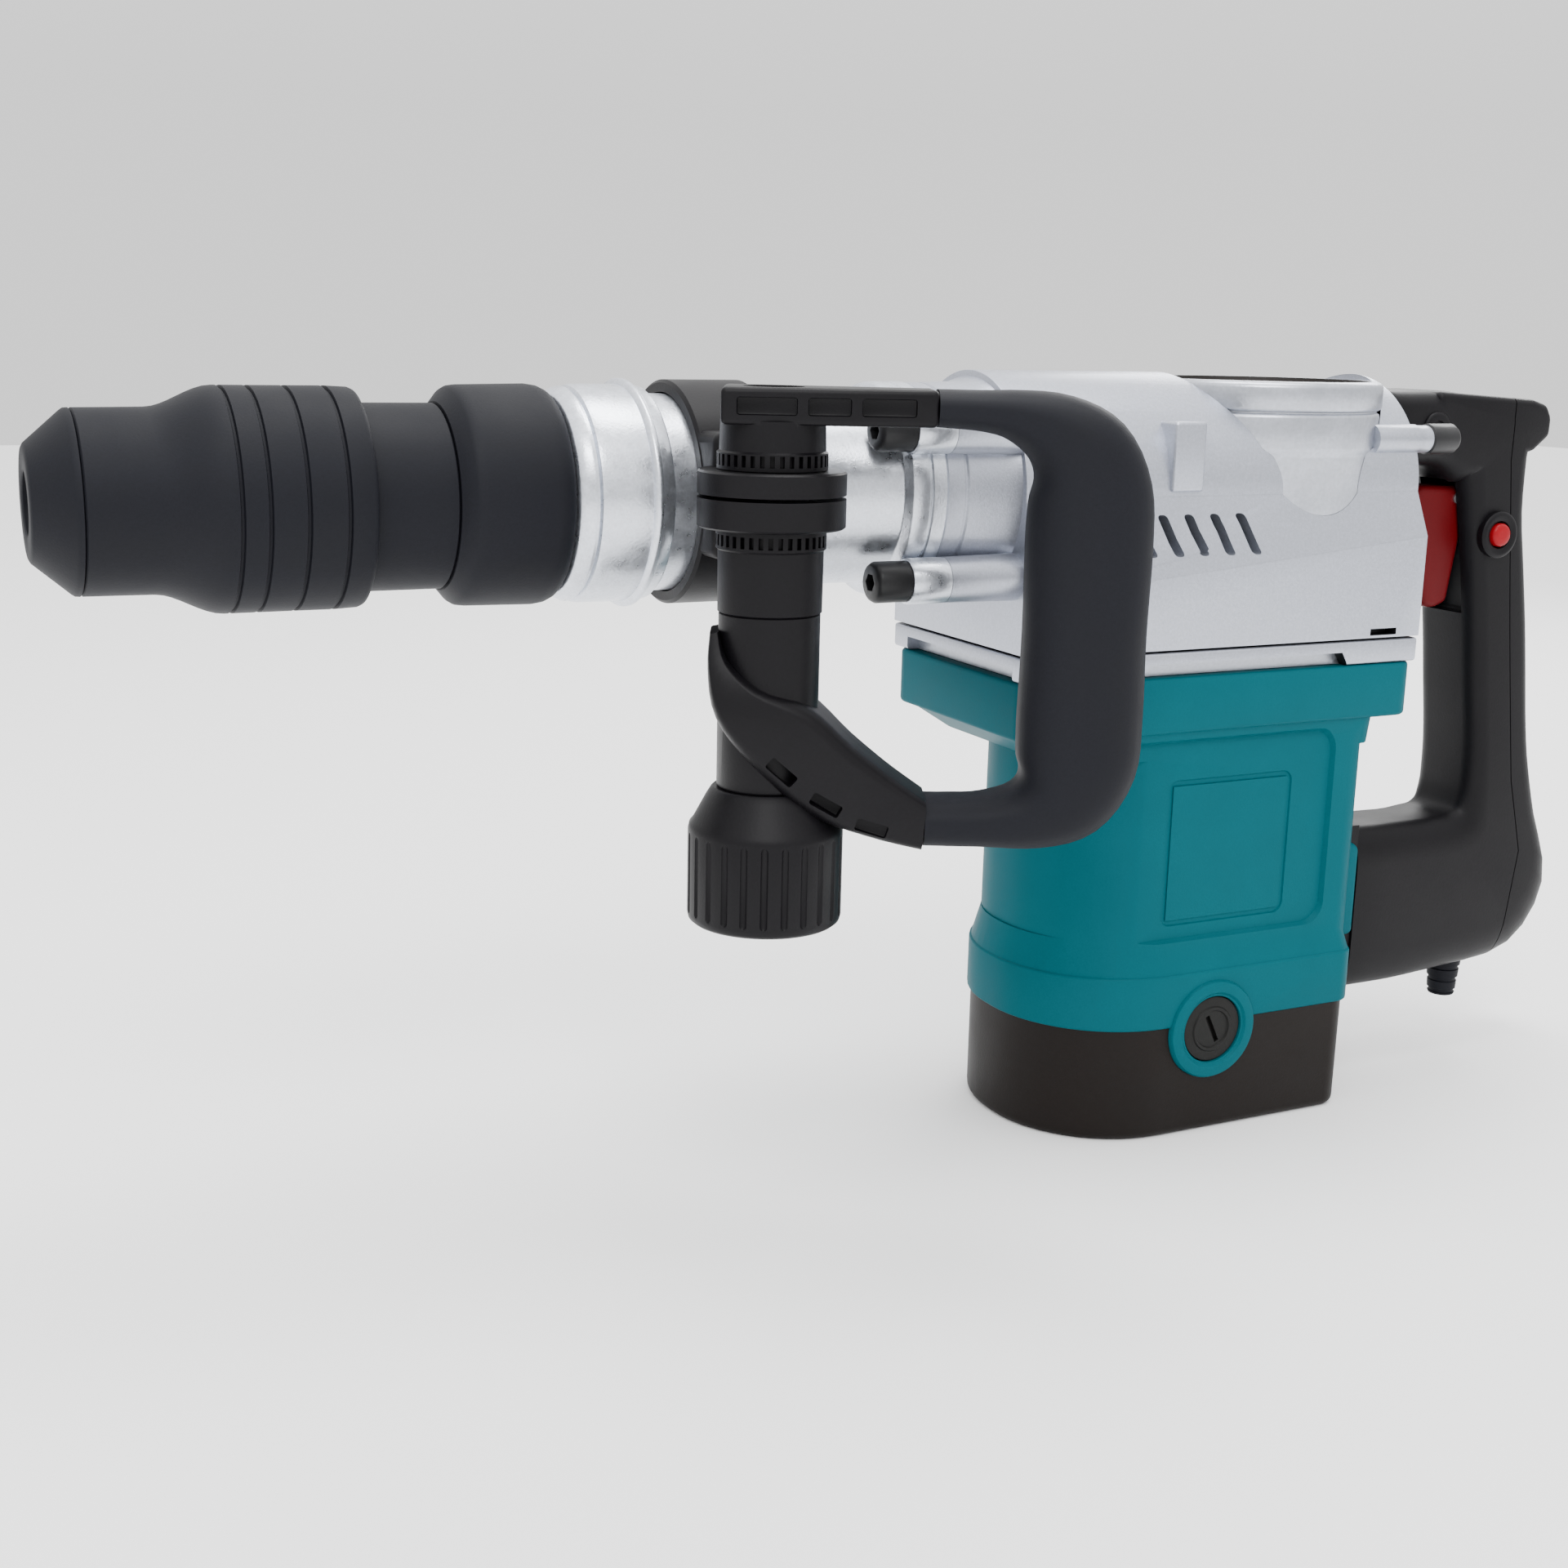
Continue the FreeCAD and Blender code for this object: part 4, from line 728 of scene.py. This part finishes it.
# %% Brush caps
plugs = []
for side in (-1, 1):
    plug = turned("plug", [(side * 42.5, 12.4), (side * 46.8, 12.4), (side * 47.4, 12.0), (side * 47.6, 11.2),
                           (side * 47.6, 8.6), (side * 48.1, 8.2), (side * 48.1, 7.2), (side * 47.5, 6.8),
                           (side * 47.5, 2)], "Y", (MOTOR, 0, BRUSH), 64)
    slot = block("slot", (MOTOR - 0.9, side * 45.4, BRUSH - 5.5), (MOTOR + 0.9, side * 50, BRUSH + 5.5))
    slot.rotation_euler = (0, side * 0.45, 0)
    slot.location = (Vector((MOTOR, 0, BRUSH)) * MM
                     - slot.rotation_euler.to_matrix() @ Vector((MOTOR, 0, BRUSH)) * MM)
    only(slot)
    bpy.ops.object.transform_apply(location=True, rotation=True, scale=True)
    plugs.append(carved(plug, slot))
nothing_selected()
for plug in plugs:
    plug.select_set(True)
bpy.context.view_layer.objects.active = plugs[0]
bpy.ops.object.join()
plugs[0].name = "brush_plugs"
place_on(plugs[0], "brush_caps")

# %% [markdown]
# ## Rear handle
# A hand grip has no straight edge: its section swells and its path bends. It is made as a straight
# bar of rings, and each ring is then sized, turned and carried to its own station on the path. The
# stations are smoothed with a curve through the given ones.

# %% Helpers for bent grips and flat plates
def between(stations, steps):
    """Fills in stations between the given ones on a smooth curve."""
    filled = []
    for i in range(len(stations) - 1):
        before, a, b, after = (Vector(stations[max(0, min(k, len(stations) - 1))])
                               for k in range(i - 1, i + 3))
        for s in range(steps):
            t = s / steps
            filled.append(0.5 * (2 * a + (b - before) * t + (2 * before - 5 * a + 4 * b - after) * t * t
                                 + (3 * a - before - 3 * b + after) * t ** 3))
    return filled + [Vector(stations[-1])]


def swept(name, stations, corner=0.6, steps=3):
    """A bar through stations of (x, z, turn, half depth, half width), its section a rounded square."""
    stations = between(stations, steps)
    parking, apart = -2.0, 0.01
    nothing_selected()
    bpy.ops.mesh.primitive_plane_add(size=2, location=(parking, 0, 0), rotation=(0, math.pi / 2, 0))
    bar = settle(name)
    pick(bar, points=lambda p: True)
    bpy.ops.mesh.bevel(affect="VERTICES", offset=corner, segments=7)
    bpy.ops.mesh.select_all(action="SELECT")
    for _ in stations[1:]:
        bpy.ops.mesh.extrude_region_move(TRANSFORM_OT_translate={"value": (apart, 0, 0)})
    bpy.ops.mesh.select_all(action="SELECT")
    bpy.ops.mesh.normals_make_consistent(inside=False)
    bpy.ops.object.mode_set(mode="OBJECT")
    for i, (x, z, turn, depth, width) in enumerate(stations):
        here = parking + i * apart
        pick(bar, points=lambda p: abs(p.x - here) < apart / 3)
        bpy.ops.transform.resize(value=(1, width * MM, depth * MM), center_override=(here, 0, 0))
        bpy.ops.transform.rotate(value=-math.radians(turn), orient_axis="Y", center_override=(here, 0, 0))
        bpy.ops.transform.translate(value=(x * MM - here, 0, z * MM))
        bpy.ops.object.mode_set(mode="OBJECT")
    return bar


def slab(name, outline, low, high):
    """A plate between two Y levels, cut to an outline of (x, z) points."""
    nothing_selected()
    bpy.ops.mesh.primitive_circle_add(vertices=len(outline), radius=3, fill_type="NGON")
    plate = settle(name)
    for start, (x, z) in zip([point.co.copy() for point in plate.data.vertices], outline):
        pick(plate, points=lambda p: (p - start).length < 1e-4)
        bpy.ops.transform.translate(value=Vector((x, low, z)) * MM - start)
        bpy.ops.object.mode_set(mode="OBJECT")
    pick(plate, faces=lambda c, n: True)
    bpy.ops.mesh.extrude_region_move(TRANSFORM_OT_translate={"value": (0, (high - low) * MM, 0)})
    bpy.ops.mesh.select_all(action="SELECT")
    bpy.ops.mesh.normals_make_consistent(inside=False)
    bpy.ops.object.mode_set(mode="OBJECT")
    return plate


# %% [markdown]
# The rear handle starts level from the gear housing, turns down through the grip and ends in a deep
# foot against the motor housing. A smaller bar takes out its inside, so that the wall is real and
# the seam between its two shells shows as a dark line.

# %% Rear handle and its rear cover
HANDLE = [(476.2, 20, 0, 14, 16.6), (479, 20, 0, 14, 17.3), (492, 20, 0, 14, 17.5),
          (505, 19.6, 6, 14.4, 17.6),
          (519, 15.5, 26, 17, 17.6), (531.5, 13, 52, 21, 17.6), (532.6, 5, 74, 17, 17.5),
          (534.7, -14, 82, 14.9, 17.2),
          (538.8, -35, 83, 14.8, 16.9), (542.8, -58, 83, 15.2, 16.8), (545.9, -80, 84, 15.4, 16.9),
          (548.7, -100, 85, 15.4, 17.1), (551, -116, 90, 16.8, 17.3), (553.8, -131.4, 105, 21, 17.5),
          (557.2, -149.4, 125, 32, 17.6), (546.7, -162.5, 145, 36, 17.6), (524.5, -165.9, 165, 33, 17.6),
          (502.3, -166.9, 176, 33, 17.6), (488, -167, 180, 33, 17.5), (478.2, -167, 180, 33.2, 17)]
SEAM = [(536, 60), (536, 8), (554, -120), (562, -150), (552, -230)]
CORNER = 0.47
BUTTON = (532.5, -20.4)
handle = swept("grip_shell", HANDLE, CORNER)
top_block = slab("top_block", [(498, 33.8), (546, 31), (553.5, 29), (556, 24), (556, 17), (548, 11), (530, 9),
                               (498, 10)], -17.4, 17.4)
joined(handle, rounded(top_block, 2.4, 4, 25))
core = swept("grip_core", [(x, z, turn, depth - 4.6, width - 4) for x, z, turn, depth,
                           width in HANDLE[1:-1]], CORNER)
carved(handle, core)
carved(handle, block("trigger_slot", (505, -9.3, -52), (531, 9.3, 0.5)))
carved(handle, turned("button_hole", [(-40, 5.2), (-8, 5.2)], "Y", (BUTTON[0], 0, BUTTON[1]), 48))
carved(handle, turned("cord_hole", [(-240, 4.4), (-170, 4.4)], "Z", (545, 0, 0), 32))
boss = turned("boss", [(-14, 6.4), (-17.9, 6.4), (-18.5, 5.9), (-18.7, 5), (-18.7, 3.2), (-17.9, 2.8)], "Y",
              (497, 0, 20), 48)
joined(handle, boss)
only(handle)
bpy.ops.object.duplicate()
rear_shell = bpy.context.object
rear_shell.name = "grip_rear_shell"
carved(handle, slab("behind", SEAM + [(700, -230), (700, 60)], -60, 60))
carved(rear_shell, slab("ahead", [(x + 0.45, z) for x, z in SEAM] + [(300, -230), (300, 60)], -60, 60))
place_on(handle, "rear_handle")
place_on(rear_shell, "rear_handle_cover")

# %% [markdown]
# The trigger is one red moulding with a swell at the top for the first finger. Its outline is cut as
# a plate and every edge is rounded. The lock button is a short domed pin in a black ring.

# %% Trigger, lock button and cord guard
trigger = slab("finger_trigger", [(523, -2.2), (502, -2.2), (497, -4.4), (494.2, -10), (495.6, -16),
                                  (500.4, -24),
                                  (504.6, -33), (505.6, -44), (507.6, -48.6), (513, -49.8), (519.6, -47.6),
                                  (523.5, -22)], -8.5, 8.5)
place_on(rounded(trigger, 2.6, 5, 25), "trigger")
pivot = turned("pivot", [(-9.2, 1.9), (9.2, 1.9)], "Y", (519, 0, -7), 32)
place_on(pivot, "trigger_pin")
cap = turned("lock_pin", [(-13.2, 4.5), (-19.8, 4.5), (-20.6, 4.1), (-21, 3.2), (-21, 1.4)], "Y",
             (BUTTON[0], 0, BUTTON[1]), 48)
place_on(cap, "lock_button")
ring = turned("pin_ring", [(-16.4, 5.0), (-16.4, 8.8), (-19.2, 9), (-19.8, 8.4), (-20, 7.4), (-19.4, 5.4),
                           (-18.6, 5),
                           (-16.4, 5.0)], "Y", (BUTTON[0], 0, BUTTON[1]), 64)
place_on(ring, "lock_bezel")
ribs = []
for i in range(5):
    top = -187.4 - i * 5.2
    wide = 7.9 - i * 0.5
    ribs += [(top, wide), (top - 3.2, wide - 0.2), (top - 3.5, wide - 0.9), (top - 4.9, wide - 1.0)]
guard = turned("cord_sleeve", [(-178.5, 4.25), (-178.5, 8), (-186.6, 8)] + ribs + [(-213.2, 5.5), (-214, 5.1),
               (-214, 4.25), (-178.5, 4.25)], "Z", (545, 0, 0), 48)
place_on(guard, "cord_guard")

# %% [markdown]
# ## Side handle
# The side handle stands out at an angle from its post. It is made in a straight plane, with the post
# at the middle of the scene, and then turned and carried to its place as one step.

# %% Helpers for the side handle
POST = (203.8, -55)
SWING = 25.4


def to_post(piece):
    """Turns a piece made round the middle of the scene to the side handle's place."""
    piece.rotation_euler = (0, 0, -math.radians(SWING))
    piece.location = (POST[0] * MM, POST[1] * MM, 0)
    only(piece)
    bpy.ops.object.transform_apply(location=True, rotation=True, scale=True)
    return piece


def teeth(name, count, radius, low, high, wide):
    """A ring of small blocks round the post, to cut a row of teeth."""
    cutters = []
    for i in range(count):
        cutter = block(name, (radius - 1.6, -wide / 2, low), (radius + 4, wide / 2, high))
        cutter.rotation_euler = (0, 0, math.tau * i / count)
        cutters.append(cutter)
    only(cutters[0])
    for cutter in cutters:
        cutter.select_set(True)
    bpy.ops.object.transform_apply(location=True, rotation=True, scale=True)
    bpy.ops.object.join()
    return cutters[0]


# %% [markdown]
# The clamp is a band round the barrel with two lugs that pinch together. The split between the lugs
# is cut last, with the bolt's hole.

# %% Clamp band
BAND = (190.5, 217.5)
middle_x = sum(BAND) / 2
band = turned("clamp_ring", [(BAND[0], 31.5), (BAND[0], 34.4), (BAND[0] + 1, 35.4), (BAND[1] - 1, 35.4),
                             (BAND[1], 34.4), (BAND[1], 31.5), (BAND[0], 31.5)])
lugs = turned("lugs", [(-6, 21.6), (-5.4, 22.3), (10.4, 22.3), (11, 21.6)], "Z", (*POST, 0))
cheek = block("cheek", (BAND[0] + 0.6, POST[1] + 4, -6), (BAND[1] - 0.6, -30, 11))
ears = block("ears", (BAND[0] + 0.3, -43, -17), (BAND[1] - 0.3, -24, 21))
joined(lugs, rounded(cheek, 1, 3), rounded(ears, 3, 4))
carved(lugs, turned("barrel_way", [(150, 32.2), (260, 32.2)]))
joined(band, lugs)
carved(band, block("split", (180, -90, 2.9), (230, -31.4, 4.0)))
carved(band, turned("bolt_way", [(-30, 5.3), (40, 5.3)], "Z", (*POST, 0), 48))
place_on(band, "clamp_band")

# %% [markdown]
# The frame is a nylon moulding: an arm above, a tube below and a scoop-shaped arm from round the tube
# to the grip. Rows of teeth hold it at the chosen angle, and pockets keep its walls thin.

# %% Side handle frame
upper = block("side_frame", (-15.2, -16.2, 24.6), (48, 16.2, 35.3))
pick(upper, points=lambda p: p.x > 0.04)
bpy.ops.transform.resize(value=(1, 0.7, 1), center_override=(0.048, 0, 0.03))
bpy.ops.object.mode_set(mode="OBJECT")
rounded(upper, 1.6, 4)
for u, length in ((-10.6, 17.6), (10, 12.6), (25.6, 16)):
    wall = 16.2 - (u + length / 2 + 15.2) * 4.86 / 63.2
    for side in (-1, 1):
        pocket = block("pocket", (u, side * (wall - 2.6), 27.4), (u + length, side * (wall + 4), 32.6))
        carved(upper, rounded(pocket, 0.8, 2))
hub = turned("hub", [(11.3, 15), (11.3, 16.6), (16.2, 16.6), (16.8, 15.9), (24, 15.7), (25.6, 15.7)], "Z")
carved(hub, teeth("tooth", 36, 16.4, 12.4, 15.8, 1.4))
joined(upper, hub)
carved(upper, turned("bolt_way", [(-10, 5.25), (50, 5.25)], "Z", sides=48),
       turned("head_way", [(29.4, 9.2), (50, 9.2)],
                                                                                   "Z", sides=48))
tube = turned("tube", [(-84.7, 14.4), (-84.7, 15.2), (-84, 15.4), (-31.8, 15.4), (-31.4, 15.0), (-31, 15.8),
                       (-12.6, 15.9), (-12, 16.6), (-6.6, 16.6), (-6.3, 16.2), (-6.3, 14.4)], "Z")
carved(tube, teeth("tooth", 36, 16.4, -11.2, -7.8, 1.4))
ARM = [(-16.4, -37, 78, 1.4, 8.5), (-15.2, -46, 70, 3.2, 14.2), (-9, -57, 54, 8, 18.2),
       (4, -67, 46, 12.4, 18.6),
       (19, -80.4, 35, 12.4, 16.6), (34, -88.6, 20, 10, 14.2), (48, -94.5, 4, 7.6, 13)]
lower = swept("lower", ARM, 0.34, 4)
for u, z, tilt in ((4.5, -77, 41), (18, -87.2, 30), (32, -94.6, 17)):
    for side in (-1, 1):
        pocket = rounded(block("pocket", (-5, 0, -2), (5, 9, 2)), 0.7, 2)
        pocket.rotation_euler = (0, math.radians(tilt), 0)
        pocket.location = Vector((u, side * 11.6 - (9 if side < 0 else 0), z)) * MM
        only(pocket)
        bpy.ops.object.transform_apply(location=True, rotation=True, scale=True)
        carved(lower, pocket)
joined(tube, lower)
carved(tube, turned("bolt_way", [(-95, 6.2), (5, 6.2)], "Z", sides=48))
only(upper)
tube.select_set(True)
bpy.ops.object.join()
place_on(to_post(upper), "side_handle_frame")

# %% [markdown]
# The grip is thick soft rubber over the frame. Its corners are large and it swells a little in the
# middle.

# %% Side handle grip
GRIP = [(48.2, 29.9, 0, 5.5, 11.2), (52, 29.8, 0, 5.6, 11.4), (62, 29.4, 2, 6, 12), (71, 28.4, 12, 7.4, 13),
        (82, 25, 32, 11, 14.2), (90.6, 18, 56, 15.2, 15), (94.4, 6, 79, 18.2, 15.2),
        (95, -10, 90, 18.8, 15.2),
        (95, -35, 90, 18.4, 15.6), (95, -60, 90, 18.8, 15.2), (94.4, -76, 101, 18.4, 15.2),
        (89.6, -87.4, 127, 15, 14.8),
        (80, -92.6, 154, 10.6, 14), (67, -94.2, 174, 8, 13.4), (56, -94.5, 180, 7.6, 13.2),
        (48.2, -94.5, 180, 7.5, 13)]
grip = swept("rubber_grip", GRIP, 0.82, 4)
print("grip rings", len(between(GRIP, 4)))
place_on(to_post(grip), "side_handle_grip")

# %% [markdown]
# The knob that tightens the clamp is turned first. Its grooves are then cut all round, as a row of
# upright rods, so that a gloved hand can hold it.

# %% Clamp knob
knob = turned("grip_knob", [(-128, 20.5), (-127.6, 22.4), (-126.6, 23.6), (-125, 24), (-98.6, 24),
                            (-96.8, 23.6),
                            (-95.6, 22.6), (-88, 18.6), (-85.6, 17.1), (-85.0, 16.4)], "Z")
rods = []
for i in range(24):
    angle = math.tau * i / 24
    rods.append(turned("rod", [(-124.6, 0.7), (-123.8, 1.25), (-100, 1.25), (-99, 0.7)], "Z",
                       (24.5 * math.cos(angle), 24.5 * math.sin(angle), 0), 12))
only(rods[0])
for rod in rods:
    rod.select_set(True)
bpy.ops.object.join()
carved(knob, rods[0], turned("bolt_way", [(-112, 5.2), (-80, 5.2)], "Z", sides=48))
place_on(to_post(knob), "clamp_knob")
